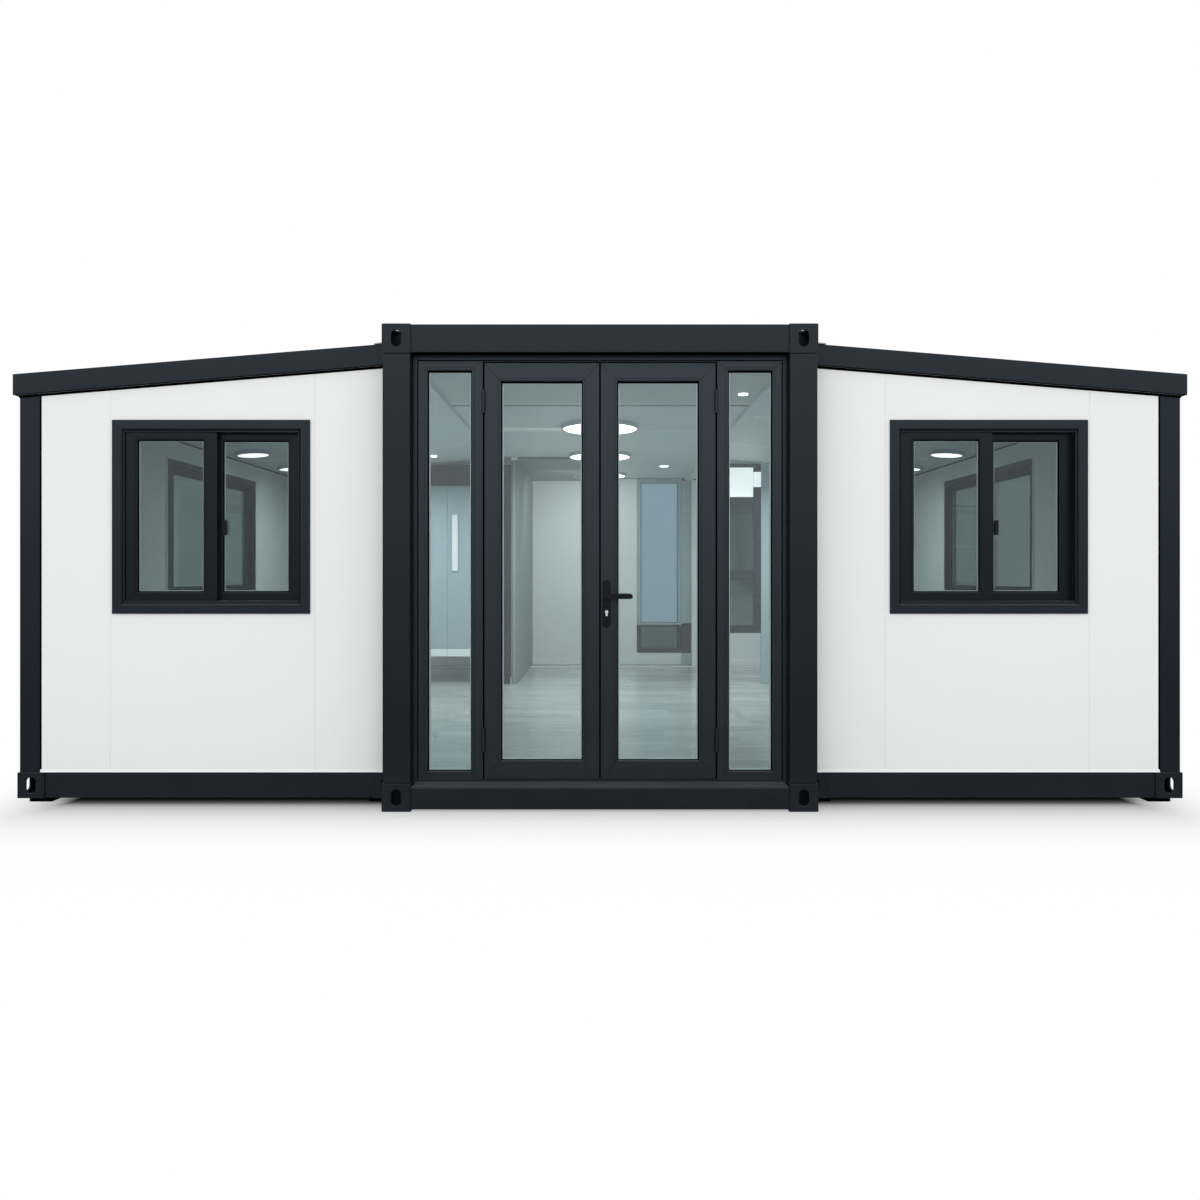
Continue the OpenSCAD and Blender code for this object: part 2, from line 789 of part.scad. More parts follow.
module ceiling_lamps() {
    tilt = atan(roof_slope);
    lamp_y = unit_back_y - lamp_inset;
    wing_lamp_y = wing_y - wall_t - wing_lamp_inset;
    color(lamp_white) {
        for (share = [-1 / 3, 1 / 3, 1])
            translate([0, share * lamp_y, ceiling_z - lamp_t]) cylinder(d = lamp_d, h = lamp_t);
        both_sides() both_ends()
            translate([wing_lamp_x, wing_lamp_y, roof_seat(wing_lamp_x)]) rotate([0, tilt, 0])
                translate([0, 0, -lamp_t]) cylinder(d = wing_lamp_d, h = lamp_t);
    }
}

portal_posts();
top_cross_beams();
bottom_cross_beams();
top_castings();
bottom_castings();
side_rails();
centre_floor();
centre_roof();
door_frame();
sidelight_frames();
sidelight_glass();
frame_hinges();
left_leaf();
left_leaf_glass();
left_leaf_hinges();
right_leaf();
right_leaf_glass();
right_leaf_hinges();
backplates();
lock_cylinder();
lever_handle();
rear_wall();
rear_light_frame();
rear_light_glass();
partition();
wing_base_beams();
wing_castings();
wing_feet();
wing_floors();
wing_posts();
left_front_wall();
right_front_wall();
left_rear_wall();
right_rear_wall();
left_side_wall();
right_side_wall();
wall_seals();
wing_roofs();
wing_fascias();
window_frames();
outer_sashes();
inner_sashes();
sash_glass();
ceiling_lamps();
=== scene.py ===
import bmesh
import bpy
import json
import math
from mathutils import Matrix, Vector

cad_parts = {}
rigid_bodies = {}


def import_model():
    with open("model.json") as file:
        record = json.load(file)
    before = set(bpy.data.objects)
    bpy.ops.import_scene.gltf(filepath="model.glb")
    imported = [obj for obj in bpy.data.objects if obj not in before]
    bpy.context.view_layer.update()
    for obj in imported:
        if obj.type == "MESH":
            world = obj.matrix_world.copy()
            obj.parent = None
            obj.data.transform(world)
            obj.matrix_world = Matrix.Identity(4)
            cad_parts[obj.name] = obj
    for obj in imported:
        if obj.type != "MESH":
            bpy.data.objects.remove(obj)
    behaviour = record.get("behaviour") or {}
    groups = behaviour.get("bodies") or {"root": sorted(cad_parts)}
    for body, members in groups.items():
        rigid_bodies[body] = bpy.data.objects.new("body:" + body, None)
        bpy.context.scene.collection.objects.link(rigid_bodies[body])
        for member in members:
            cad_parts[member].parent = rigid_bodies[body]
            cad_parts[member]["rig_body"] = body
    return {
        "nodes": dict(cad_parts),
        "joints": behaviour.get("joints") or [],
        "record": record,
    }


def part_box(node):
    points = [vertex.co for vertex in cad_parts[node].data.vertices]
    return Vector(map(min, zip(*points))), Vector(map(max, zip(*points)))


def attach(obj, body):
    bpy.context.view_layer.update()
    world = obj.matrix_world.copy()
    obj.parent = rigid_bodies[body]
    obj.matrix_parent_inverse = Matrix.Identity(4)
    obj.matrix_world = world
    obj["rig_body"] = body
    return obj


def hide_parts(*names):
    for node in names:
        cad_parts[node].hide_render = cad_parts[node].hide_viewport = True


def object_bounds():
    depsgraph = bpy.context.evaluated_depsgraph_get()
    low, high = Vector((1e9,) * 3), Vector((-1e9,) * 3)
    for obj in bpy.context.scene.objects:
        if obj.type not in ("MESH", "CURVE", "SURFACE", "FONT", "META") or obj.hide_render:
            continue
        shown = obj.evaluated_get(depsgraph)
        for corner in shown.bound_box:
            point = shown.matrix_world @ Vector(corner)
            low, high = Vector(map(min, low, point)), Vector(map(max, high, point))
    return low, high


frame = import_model()
cadLow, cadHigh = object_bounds()
mm = 0.001
print("frame loaded")


# reading the frame

def solidsOf(node):
    # lowest and highest corner of each separate solid in a node
    mesh = bmesh.new()
    mesh.from_mesh(frame["nodes"][node].data)
    bmesh.ops.remove_doubles(mesh, verts=mesh.verts, dist=0.01 * mm)
    waiting = set(mesh.verts)
    found = []
    while waiting:
        island = [waiting.pop()]
        for vert in island:
            for edge in vert.link_edges:
                other = edge.other_vert(vert)
                if other in waiting:
                    waiting.remove(other)
                    island.append(other)
        low = Vector([min(v.co[i] for v in island) for i in range(3)])
        high = Vector([max(v.co[i] for v in island) for i in range(3)])
        found.append((low, high))
    mesh.free()
    return sorted(found, key=lambda box: tuple(round(c, 4) for c in box[0]))


def outlineOf(box):
    # left, right, bottom and top of a solid that stands across the house
    low, high = box
    return low.x, high.x, low.z, high.z


def wallSide(outward, at):
    # a wall's own frame (x right seen from outside, y inwards, z up) set in the house
    inwards = -Vector(outward)
    right = inwards.cross(Vector((0, 0, 1)))
    turned = Matrix((right, inwards, (0, 0, 1))).transposed().to_4x4()
    return Matrix.Translation(at) @ turned


# making pieces

def evenNormals(piece):
    # flat faces keep their own normals, so no shading bleeds in from the rounded edges
    modifier = piece.modifiers.new("evenNormals", "WEIGHTED_NORMAL")
    modifier.keep_sharp = True
    bpy.context.view_layer.update()
    graph = bpy.context.evaluated_depsgraph_get()
    mesh = bpy.data.meshes.new_from_object(piece.evaluated_get(graph), preserve_all_data_layers=True, depsgraph=graph)
    piece.modifiers.remove(modifier)
    piece.data = mesh


def showMesh(name, mesh, finish, body="house", slot=None, replaces=(), smooth=True):
    piece = bpy.data.objects.new(name, mesh)
    bpy.context.scene.collection.objects.link(piece)
    if not mesh.materials:
        for material in finish if isinstance(finish, list) else [finish]:
            mesh.materials.append(material)
    if smooth:
        mesh.shade_smooth()
        mesh.set_sharp_from_angle(angle=math.radians(35))
        evenNormals(piece)
    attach(piece, body)
    if replaces:
        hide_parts(*replaces)
    return piece


def showShape(name, shape, finish, **settings):
    mesh = bpy.data.meshes.new(name)
    shape.to_mesh(mesh)
    shape.free()
    return showMesh(name, mesh, finish, **settings)


def addBox(shape, low, high, bevel=0.0, place=None):
    verts = bmesh.ops.create_cube(shape, size=1)["verts"]
    low, high = Vector(low), Vector(high)
    size = high - low
    for vert in verts:
        vert.co = Vector([(low[i] + high[i]) / 2 + vert.co[i] * size[i] for i in range(3)])
    if bevel:
        edges = list({edge for vert in verts for edge in vert.link_edges})
        verts = bmesh.ops.bevel(shape, geom=edges, offset=bevel, segments=2, profile=0.5, affect="EDGES")["verts"]
    if place:
        bmesh.ops.transform(shape, matrix=place, verts=verts)


def addPrism(shape, outline, ends, place=None):
    # an outline of (y, z) points carried from ends[0] to ends[1] along x; an end may be a function of y
    rings = []
    for end in ends:
        rings.append([shape.verts.new((end(y) if callable(end) else end, y, z)) for y, z in outline])
    count = len(outline)
    faces = [shape.faces.new((rings[0][i], rings[0][(i + 1) % count], rings[1][(i + 1) % count], rings[1][i]))
             for i in range(count)]
    faces += [shape.faces.new(list(reversed(rings[0]))), shape.faces.new(rings[1])]
    bmesh.ops.recalc_face_normals(shape, faces=faces)
    if place:
        bmesh.ops.transform(shape, matrix=place, verts=rings[0] + rings[1])


def addBars(shape, box, sides, profile, place=None, mitreGap=0.7 * mm):
    # four mitred bars round box = (left, right, bottom, top) at y = 0; sides gives their widths in that order
    # profile points are (share of the width, offset, depth), from the outer edge inwards
    left, right, bottom, top = box
    corners = [Vector((left, 0, bottom)), Vector((right, 0, bottom)), Vector((right, 0, top)), Vector((left, 0, top))]
    inward = [(1, 1), (-1, 1), (-1, -1), (1, -1)]
    widths = [(sides[0], sides[2]), (sides[1], sides[2]), (sides[1], sides[3]), (sides[0], sides[3])]
    made = []
    for bar in range(4):
        ends = [bar, (bar + 1) % 4]
        along = (corners[ends[1]] - corners[ends[0]]).normalized()
        rings = []
        for step, end in enumerate(ends):
            pull = along * mitreGap * (1 if step == 0 else -1)
            ring = []
            for share, offset, depth in profile:
                acrossX = widths[end][0] * share + offset
                acrossZ = widths[end][1] * share + offset
                spot = corners[end] + Vector((inward[end][0] * acrossX, depth, inward[end][1] * acrossZ)) + pull
                ring.append(shape.verts.new(spot))
            rings.append(ring)
            made += ring
        count = len(profile)
        for i in range(count):
            j = (i + 1) % count
            shape.faces.new((rings[0][i], rings[0][j], rings[1][j], rings[1][i]))
        shape.faces.new(list(reversed(rings[0])))
        shape.faces.new(rings[1])
    faces = list({face for vert in made for face in vert.link_faces})
    bmesh.ops.recalc_face_normals(shape, faces=faces)
    if place:
        bmesh.ops.transform(shape, matrix=place, verts=made)


def grown(box, by):
    return box[0] - by, box[1] + by, box[2] - by, box[3] + by


def mergedCopy(node):
    shape = bmesh.new()
    shape.from_mesh(frame["nodes"][node].data)
    bmesh.ops.remove_doubles(shape, verts=shape.verts, dist=0.01 * mm)
    bmesh.ops.dissolve_limit(shape, angle_limit=math.radians(1), verts=shape.verts, edges=shape.edges)
    return shape


def softened(node, name, finish, slot, bevel, segments=2, lining=None, lined=(0, 0, -1)):
    # the node's own shape with its edges broken, as folded and cast steel has them
    # the side that faces "lined" may have a second finish
    shape = mergedCopy(node)
    edges = [e for e in shape.edges if len(e.link_faces) == 2 and e.calc_face_angle() > math.radians(50)]
    bmesh.ops.bevel(shape, geom=edges, offset=bevel, segments=segments, profile=0.5, affect="EDGES", clamp_overlap=True)
    if lining:
        for face in shape.faces:
            face.material_index = 1 if face.normal.dot(Vector(lined)) > 0.5 else 0
    return showShape(name, shape, [finish, lining] if lining else finish,
                     body=frame["nodes"][node]["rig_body"], slot=slot, replaces=(node,))


def span(side, first, second):
    # two distances from the centre line, in rising order on the side that side = -1 or 1 names
    return sorted((side * first, side * second))


# the wings' roofs: heights and strips that follow their slope

def readSlope():
    # where the wing ceilings start and end, and how thick the roofs are
    corners = {}
    for vert in frame["nodes"]["wing_roofs"].data.vertices:
        if vert.co.x > 0:
            corners.setdefault(round(vert.co.x, 4), []).append(vert.co.z)
    inner, outer = min(corners), max(corners)
    return {"inner": inner, "outer": outer, "start": min(corners[inner]), "end": min(corners[outer]),
            "thick": max(corners[inner]) - min(corners[inner])}


wingSlope = readSlope()


def roofUnder(x):
    # height of the wing ceiling at x
    run = (x - wingSlope["inner"]) / (wingSlope["outer"] - wingSlope["inner"])
    return wingSlope["start"] + (wingSlope["end"] - wingSlope["start"]) * run


def layOnSlope(shape, inner, outer, side):
    # lays a strip that runs from x = 0 to 1 along one wing's slope, between inner and outer
    slope = (roofUnder(outer) - roofUnder(inner)) / (outer - inner)
    for vert in shape.verts:
        along = vert.co.x * (outer - inner)
        vert.co = Vector((side * (inner + along), vert.co.y, vert.co.z + along * slope))
    bmesh.ops.recalc_face_normals(shape, faces=shape.faces)


# trees for what repeats

def addNode(tree, kind, links=(), **settings):
    node = tree.nodes.new(kind)
    for key, value in settings.items():
        setattr(node, key, value)
    for socket, source in links:
        target = node.inputs[socket]
        if isinstance(source, bpy.types.NodeSocket):
            tree.links.new(source, target)
        else:
            target.default_value = source
    return node


def newTree(name, inputs):
    tree = bpy.data.node_groups.new(name, "GeometryNodeTree")
    tree.interface.new_socket("Geometry", in_out="INPUT", socket_type="NodeSocketGeometry")
    for label, kind in inputs:
        tree.interface.new_socket(label, in_out="INPUT", socket_type=kind)
    tree.interface.new_socket("Geometry", in_out="OUTPUT", socket_type="NodeSocketGeometry")
    given = tree.nodes.new("NodeGroupInput").outputs
    return tree, given, tree.nodes.new("NodeGroupOutput")
def sumsIn(tree):
    # short for a math node: sums("ADD", first, second)
    def sums(operation, first, second=0.0):
        return addNode(tree, "ShaderNodeMath", [(0, first), (1, second)], operation=operation).outputs[0]
    return sums


def endTree(tree, given, out, geometry):
    solid = addNode(tree, "GeometryNodeRealizeInstances", [("Geometry", geometry)])
    painted = addNode(tree, "GeometryNodeSetMaterial", [("Geometry", solid.outputs[0]), ("Material", given["Finish"])])
    tree.links.new(painted.outputs[0], out.inputs[0])
def makeRunsTree():
    # sets a piece at even steps along each edge of a mesh, its top turned to the edge's "facing"
    tree, given, out = newTree("piecesAlongRuns", [("Piece", "NodeSocketObject"), ("Spacing", "NodeSocketFloat"),
                                                   ("Finish", "NodeSocketMaterial")])
    sums = sumsIn(tree)
    curve = addNode(tree, "GeometryNodeMeshToCurve", [("Mesh", given["Geometry"])])
    length = addNode(tree, "GeometryNodeSplineLength").outputs["Length"]
    steps = sums("ROUND", sums("DIVIDE", length, given["Spacing"]))
    count = sums("ADD", sums("MAXIMUM", steps, 1.0), 1.0)
    dotted = addNode(tree, "GeometryNodeResampleCurve", [("Curve", curve.outputs[0]), ("Count", count)], mode="COUNT")
    points = addNode(tree, "GeometryNodeCurveToPoints", [("Curve", dotted.outputs[0])], mode="EVALUATED")
    facing = addNode(tree, "GeometryNodeInputNamedAttribute", [("Name", "facing")], data_type="FLOAT_VECTOR")
    turned = addNode(tree, "FunctionNodeAlignRotationToVector", [("Vector", facing.outputs["Attribute"])], axis="Z")
    piece = addNode(tree, "GeometryNodeObjectInfo", [("Object", given["Piece"])])
    placed = addNode(tree, "GeometryNodeInstanceOnPoints",
                     [("Points", points.outputs["Points"]), ("Instance", piece.outputs["Geometry"]),
                      ("Rotation", turned.outputs[0])])
    endTree(tree, given, out, placed.outputs[0])
    return tree


def makePlanksTree():
    # staggered boards along x over a rectangle, cut at its sides, with a tone of its own for each board
    sizes = ("Size X", "Size Y", "Board Length", "Board Width", "Thickness", "Joint")
    tree, given, out = newTree("plankFloor", [(size, "NodeSocketFloat") for size in sizes]
                               + [("Seed", "NodeSocketInt"), ("Finish", "NodeSocketMaterial")])
    sums = sumsIn(tree)
    rows = sums("CEIL", sums("DIVIDE", given["Size Y"], given["Board Width"]))
    boards = sums("ADD", sums("CEIL", sums("DIVIDE", given["Size X"], given["Board Length"])), 2.0)
    index = addNode(tree, "GeometryNodeInputIndex").outputs[0]
    row = sums("FLOOR", sums("DIVIDE", index, boards))
    place = sums("SUBTRACT", index, sums("MULTIPLY", row, boards))
    stagger = sums("FRACT", sums("MULTIPLY", row, 0.381))
    start = sums("MULTIPLY", sums("SUBTRACT", place, sums("ADD", stagger, 0.5)), given["Board Length"])
    halfX = sums("MULTIPLY", given["Size X"], 0.5)
    halfY = sums("MULTIPLY", given["Size Y"], 0.5)
    leftmost = sums("MULTIPLY", halfX, -1.0)
    first = sums("MINIMUM", sums("MAXIMUM", sums("SUBTRACT", start, halfX), leftmost), halfX)
    last = sums("ADD", sums("SUBTRACT", start, halfX), given["Board Length"])
    last = sums("MINIMUM", sums("MAXIMUM", last, leftmost), halfX)
    near = sums("SUBTRACT", sums("MULTIPLY", row, given["Board Width"]), halfY)
    far = sums("MINIMUM", sums("ADD", near, given["Board Width"]), halfY)
    length = sums("SUBTRACT", last, first)
    centre = addNode(tree, "ShaderNodeCombineXYZ", [("X", sums("MULTIPLY", sums("ADD", first, last), 0.5)),
                                                    ("Y", sums("MULTIPLY", sums("ADD", near, far), 0.5))])
    size = addNode(tree, "ShaderNodeCombineXYZ",
                   [("X", sums("SUBTRACT", length, given["Joint"])),
                    ("Y", sums("SUBTRACT", sums("SUBTRACT", far, near), given["Joint"])), ("Z", given["Thickness"])])
    spots = addNode(tree, "GeometryNodePoints",
                    [("Count", sums("MULTIPLY", rows, boards)), ("Position", centre.outputs[0])])
    tone = addNode(tree, "FunctionNodeRandomValue", [("Seed", given["Seed"])], data_type="FLOAT")
    toned = addNode(tree, "GeometryNodeStoreNamedAttribute", [("Geometry", spots.outputs[0]), ("Name", "tone")],
                    data_type="FLOAT", domain="POINT")
    tree.links.new(tone.outputs[1], toned.inputs["Value"])
    board = addNode(tree, "GeometryNodeMeshCube", [("Size", (1, 1, 1))])
    wide = sums("GREATER_THAN", length, 0.03)  # no slivers at the sides
    laid = addNode(tree, "GeometryNodeInstanceOnPoints",
                   [("Points", toned.outputs[0]), ("Selection", wide), ("Instance", board.outputs[0]),
                    ("Scale", size.outputs[0])])
    endTree(tree, given, out, laid.outputs[0])
    return tree


runsTree = makeRunsTree()
planksTree = makePlanksTree()


def treeMesh(name, tree, host, values):
    # runs a tree on a host mesh and keeps the plain mesh that it makes
    carrier = bpy.data.objects.new(name + "Carrier", host)
    bpy.context.scene.collection.objects.link(carrier)
    modifier = carrier.modifiers.new("tree", "NODES")
    modifier.node_group = tree
    for item in tree.interface.items_tree:
        if item.item_type == "SOCKET" and item.in_out == "INPUT" and item.name in values:
            modifier[item.identifier] = values[item.name]
    bpy.context.view_layer.update()
    ready = carrier.evaluated_get(bpy.context.evaluated_depsgraph_get())
    mesh = bpy.data.meshes.new_from_object(ready)
    mesh.name = name
    carrier.modifiers.remove(modifier)
    bpy.data.objects.remove(carrier)
    return mesh


def alongRuns(name, runs, shape, spacing, finish, **settings):
    # runs are (start, end, facing); shape is the piece that repeats, with z up
    host = bpy.data.meshes.new(name + "Runs")
    host.from_pydata([point for start, end, _ in runs for point in (start, end)],
                     [(2 * i, 2 * i + 1) for i in range(len(runs))], [])
    facing = host.attributes.new("facing", "FLOAT_VECTOR", "POINT")
    facing.data.foreach_set("vector", [c for _, _, way in runs for _ in range(2) for c in way])
    mesh = bpy.data.meshes.new(name + "Piece")
    shape.to_mesh(mesh)
    shape.free()
    piece = bpy.data.objects.new(name + "Piece", mesh)
    bpy.context.scene.collection.objects.link(piece)
    made = treeMesh(name, runsTree, host, {"Piece": piece, "Spacing": spacing, "Finish": finish})
    bpy.data.objects.remove(piece)
    return showMesh(name, made, finish, **settings)


print("trees made")


# shader groups

def makeGroup(name, inputs, outputs):
    group = bpy.data.node_groups.new(name, "ShaderNodeTree")
    for label, kind, value in inputs:
        socket = group.interface.new_socket(label, in_out="INPUT", socket_type=kind)
        socket.default_value = value
    for label, kind in outputs:
        group.interface.new_socket(label, in_out="OUTPUT", socket_type=kind)
    return group, group.nodes.new("NodeGroupInput").outputs, group.nodes.new("NodeGroupOutput").inputs
def makeFinishGroup():
    # soft mottling, a grain bump and a roughness that wanders, for paint, coil coating and plastic
    group, given, made = makeGroup(
        "sprayedFinish",
        [("Colour", "NodeSocketColor", (0.5, 0.5, 0.5, 1)), ("Mottle", "NodeSocketFloat", 0.05),
         ("Mottle Scale", "NodeSocketFloat", 3.0), ("Grain Scale", "NodeSocketFloat", 700.0),
         ("Grain Height", "NodeSocketFloat", 0.1), ("Roughness", "NodeSocketFloat", 0.4),
         ("Roughness Spread", "NodeSocketFloat", 0.06)],
        [("Colour", "NodeSocketColor"), ("Roughness", "NodeSocketFloat"), ("Normal", "NodeSocketVector")])
    sums = sumsIn(group)
    spot = addNode(group, "ShaderNodeTexCoord").outputs["Object"]
    cloud = addNode(group, "ShaderNodeTexNoise", [("Vector", spot), ("Scale", given["Mottle Scale"]), ("Detail", 4.0)])
    lift = sums("SUBTRACT", cloud.outputs["Fac"], 0.5)
    value = sums("ADD", sums("MULTIPLY", lift, given["Mottle"]), 1.0)
    shaded = addNode(group, "ShaderNodeVectorMath", [(0, given["Colour"]), (1, value)], operation="MULTIPLY")
    rough = sums("ADD", sums("MULTIPLY", lift, given["Roughness Spread"]), given["Roughness"])
    grain = addNode(group, "ShaderNodeTexNoise", [("Vector", spot), ("Scale", given["Grain Scale"]), ("Detail", 2.0)])
    bump = addNode(group, "ShaderNodeBump",
                   [("Height", grain.outputs["Fac"]), ("Strength", given["Grain Height"]), ("Distance", 0.2 * mm)])
    group.links.new(shaded.outputs[0], made["Colour"])
    group.links.new(rough, made["Roughness"])
    group.links.new(bump.outputs[0], made["Normal"])
    return group


def makeDustGroup():
    # a mask that gathers on upward faces and fades out above a height, broken up by noise
    group, given, made = makeGroup(
        "settledDust",
        [("Upward", "NodeSocketFloat", 0.3), ("Low", "NodeSocketFloat", 0.0), ("Height", "NodeSocketFloat", 0.4),
         ("Foot", "NodeSocketFloat", 0.2)],
        [("Mask", "NodeSocketFloat")])
    sums = sumsIn(group)
    spot = addNode(group, "ShaderNodeTexCoord").outputs["Object"]
    normal = addNode(group, "ShaderNodeNewGeometry").outputs["Normal"]
    facing = addNode(group, "ShaderNodeSeparateXYZ", [("Vector", normal)])
    height = addNode(group, "ShaderNodeSeparateXYZ", [("Vector", spot)])
    cloud = addNode(group, "ShaderNodeTexNoise",
                    [("Vector", spot), ("Scale", 5.0), ("Detail", 6.0), ("Roughness", 0.62)])
    top = sums("MULTIPLY", sums("MAXIMUM", facing.outputs["Z"], 0.0), given["Upward"])
    above = sums("DIVIDE", sums("SUBTRACT", height.outputs["Z"], given["Low"]), given["Height"])
    foot = sums("MULTIPLY", sums("MAXIMUM", sums("SUBTRACT", 1.0, above), 0.0), given["Foot"])
    both = sums("MULTIPLY", sums("ADD", top, foot), cloud.outputs["Fac"])
    group.links.new(addNode(group, "ShaderNodeClamp", [("Value", both)]).outputs[0], made["Mask"])
    return group


def makeStreakGroup():
    # fine lines drawn out along one axis, for brushed metal and printed wood
    group, given, made = makeGroup(
        "drawnStreaks",
        [("Stretch", "NodeSocketVector", (1, 30, 30)), ("Scale", "NodeSocketFloat", 2.0),
         ("Shift", "NodeSocketFloat", 0.0)],
        [("Mask", "NodeSocketFloat")])
    spot = addNode(group, "ShaderNodeTexCoord").outputs["Object"]
    drawn = addNode(group, "ShaderNodeVectorMath", [(0, spot), (1, given["Stretch"])], operation="MULTIPLY")
    moved = addNode(group, "ShaderNodeVectorMath", [(0, drawn.outputs[0]), (1, given["Shift"])], operation="ADD")
    lines = addNode(group, "ShaderNodeTexNoise",
                    [("Vector", moved.outputs[0]), ("Scale", given["Scale"]), ("Detail", 6.0), ("Roughness", 0.6)])
    group.links.new(lines.outputs["Fac"], made["Mask"])
    return group


finishGroup = makeFinishGroup()
dustGroup = makeDustGroup()
streakGroup = makeStreakGroup()


def srgb(r, g, b):
    return tuple((c / 255) ** 2.2 for c in (r, g, b)) + (1.0,)


def newMaterial(name, sockets=()):
    material = bpy.data.materials.new(name)
    material.use_nodes = True
    shader = material.node_tree.nodes["Principled BSDF"]
    for socket, value in sockets:
        shader.inputs[socket].default_value = value
    return material, material.node_tree, shader


shaderSockets = {"specular": "Specular IOR Level", "metallic": "Metallic"}
coatSockets = {"mottle": "Mottle", "mottleScale": "Mottle Scale", "grainScale": "Grain Scale",
               "grainHeight": "Grain Height", "roughness": "Roughness"}


def finishedMaterial(name, colour, dust=None, dustColour=(120, 122, 122), **settings):
    # colours are in sRGB, 0 to 255; settings are named as in the two lists above
    plain = [(shaderSockets[key], value) for key, value in settings.items() if key in shaderSockets]
    material, tree, shader = newMaterial(name, plain)
    coat = addNode(tree, "ShaderNodeGroup", node_tree=finishGroup)
    coat.inputs["Colour"].default_value = srgb(*colour)
    for key, socket in coatSockets.items():
        if key in settings:
            coat.inputs[socket].default_value = settings[key]
    shown = coat.outputs["Colour"]
    if dust:
        mask = addNode(tree, "ShaderNodeGroup", node_tree=dustGroup)
        for socket, value in dust.items():
            mask.inputs[socket].default_value = value
        mix = addNode(tree, "ShaderNodeMix", data_type="RGBA")
        tree.links.new(mask.outputs["Mask"], mix.inputs["Factor"])
        tree.links.new(shown, mix.inputs["A"])
        mix.inputs["B"].default_value = srgb(*dustColour)
        shown = mix.outputs["Result"]
    tree.links.new(shown, shader.inputs["Base Color"])
    tree.links.new(coat.outputs["Roughness"], shader.inputs["Roughness"])
    tree.links.new(coat.outputs["Normal"], shader.inputs["Normal"])
    return material


groundDust = {"Upward": 0.25, "Low": 0.0, "Height": 0.35, "Foot": 0.05}
doorDust = {"Upward": 0.2, "Low": 0.1, "Height": 0.3, "Foot": 0.03}
sashDust = {"Upward": 0.3, "Low": 0.9, "Height": 0.2, "Foot": 0.0}
windowDust = {"Upward": 0.3, "Low": 0.9, "Height": 0.2, "Foot": 0.05}
wallDust = {"Upward": 0.12, "Low": 0.12, "Height": 0.5, "Foot": 0.07}
roofDust = {"Upward": 0.4, "Low": 0.0, "Height": 1.0, "Foot": 0.0}

# dark coats
framePaint = finishedMaterial("framePaint", (24, 29, 35), groundDust, specular=0.5, mottle=0.2, roughness=0.42)
doorCoat = finishedMaterial("doorCoat", (32, 38, 45), doorDust, specular=0.72, mottle=0.16, roughness=0.38,
                            grainScale=1100.0)
sashCoat = finishedMaterial("sashCoat", (23, 28, 33), sashDust, specular=0.38, mottle=0.14, roughness=0.36,
                            grainScale=1100.0)
windowCoat = finishedMaterial("windowCoat", (26, 32, 39), windowDust, specular=0.55, mottle=0.16, roughness=0.38,
                              grainScale=1100.0)
blackCoat = finishedMaterial("blackCoat", (17, 18, 20), specular=0.45, mottle=0.1, roughness=0.34, grainScale=1500.0)
sealRubber = finishedMaterial("sealRubber", (13, 13, 14), specular=0.0, mottle=0.3, roughness=0.66, grainHeight=0.25)
greenBlack = finishedMaterial("greenBlack", (36, 46, 44), specular=0.5, mottle=0.06, roughness=0.3)
joistSteel = finishedMaterial("joistSteel", (96, 101, 105), groundDust, metallic=0.6, mottle=0.3, mottleScale=8.0,
                              roughness=0.5)

# skins of the panels, outside and in
panelSkin = finishedMaterial("panelSkin", (233, 235, 234), wallDust, (176, 172, 164), specular=0.3, mottle=0.015,
                             mottleScale=1.4, roughness=0.5, grainScale=260.0, grainHeight=0.05)
roofSheet = finishedMaterial("roofSheet", (206, 209, 210), roofDust, (150, 148, 142), specular=0.4, mottle=0.05,
                             mottleScale=0.9, roughness=0.42, grainScale=320.0)
ceilingSkin = finishedMaterial("ceilingSkin", (212, 219, 220), specular=0.35, mottle=0.03, mottleScale=1.0,
                               roughness=0.4)
# a grey that paints the shade on the passage's walls and ceilings
paintedShadeGrey = finishedMaterial("paintedShadeGrey", (124, 132, 131), specular=0.35, mottle=0.03, mottleScale=1.0, roughness=0.45)
# a dull white that paints the shade on the ceiling behind the door unit
paintedShadeWhite = finishedMaterial("paintedShadeWhite", (190, 198, 197), specular=0.35, mottle=0.03, mottleScale=1.0, roughness=0.45)
passageGrey = finishedMaterial("passageGrey", (168, 176, 175), specular=0.35, mottle=0.03, mottleScale=1.0,
                               roughness=0.45)
paleBlue = finishedMaterial("paleBlue", (160, 177, 182), specular=0.4, mottle=0.03, mottleScale=1.0, roughness=0.4)
boardUnderside = finishedMaterial("boardUnderside", (146, 138, 124), specular=0.2, mottle=0.2, mottleScale=2.5,
                                  roughness=0.75)

# trims and small parts
whiteTrim = finishedMaterial("whiteTrim", (240, 241, 241), specular=0.45, mottle=0.02, roughness=0.3)
spacerGrey = finishedMaterial("spacerGrey", (186, 193, 194), specular=0.5, mottle=0.04, roughness=0.32)
lampRim = finishedMaterial("lampRim", (196, 199, 200), specular=0.5, mottle=0.03, roughness=0.35)
blindSlat = finishedMaterial("blindSlat", (226, 228, 226), specular=0.35, mottle=0.03, roughness=0.45)
nickel = finishedMaterial("nickel", (226, 228, 228), metallic=0.3, specular=0.6, mottle=0.05, roughness=0.32)


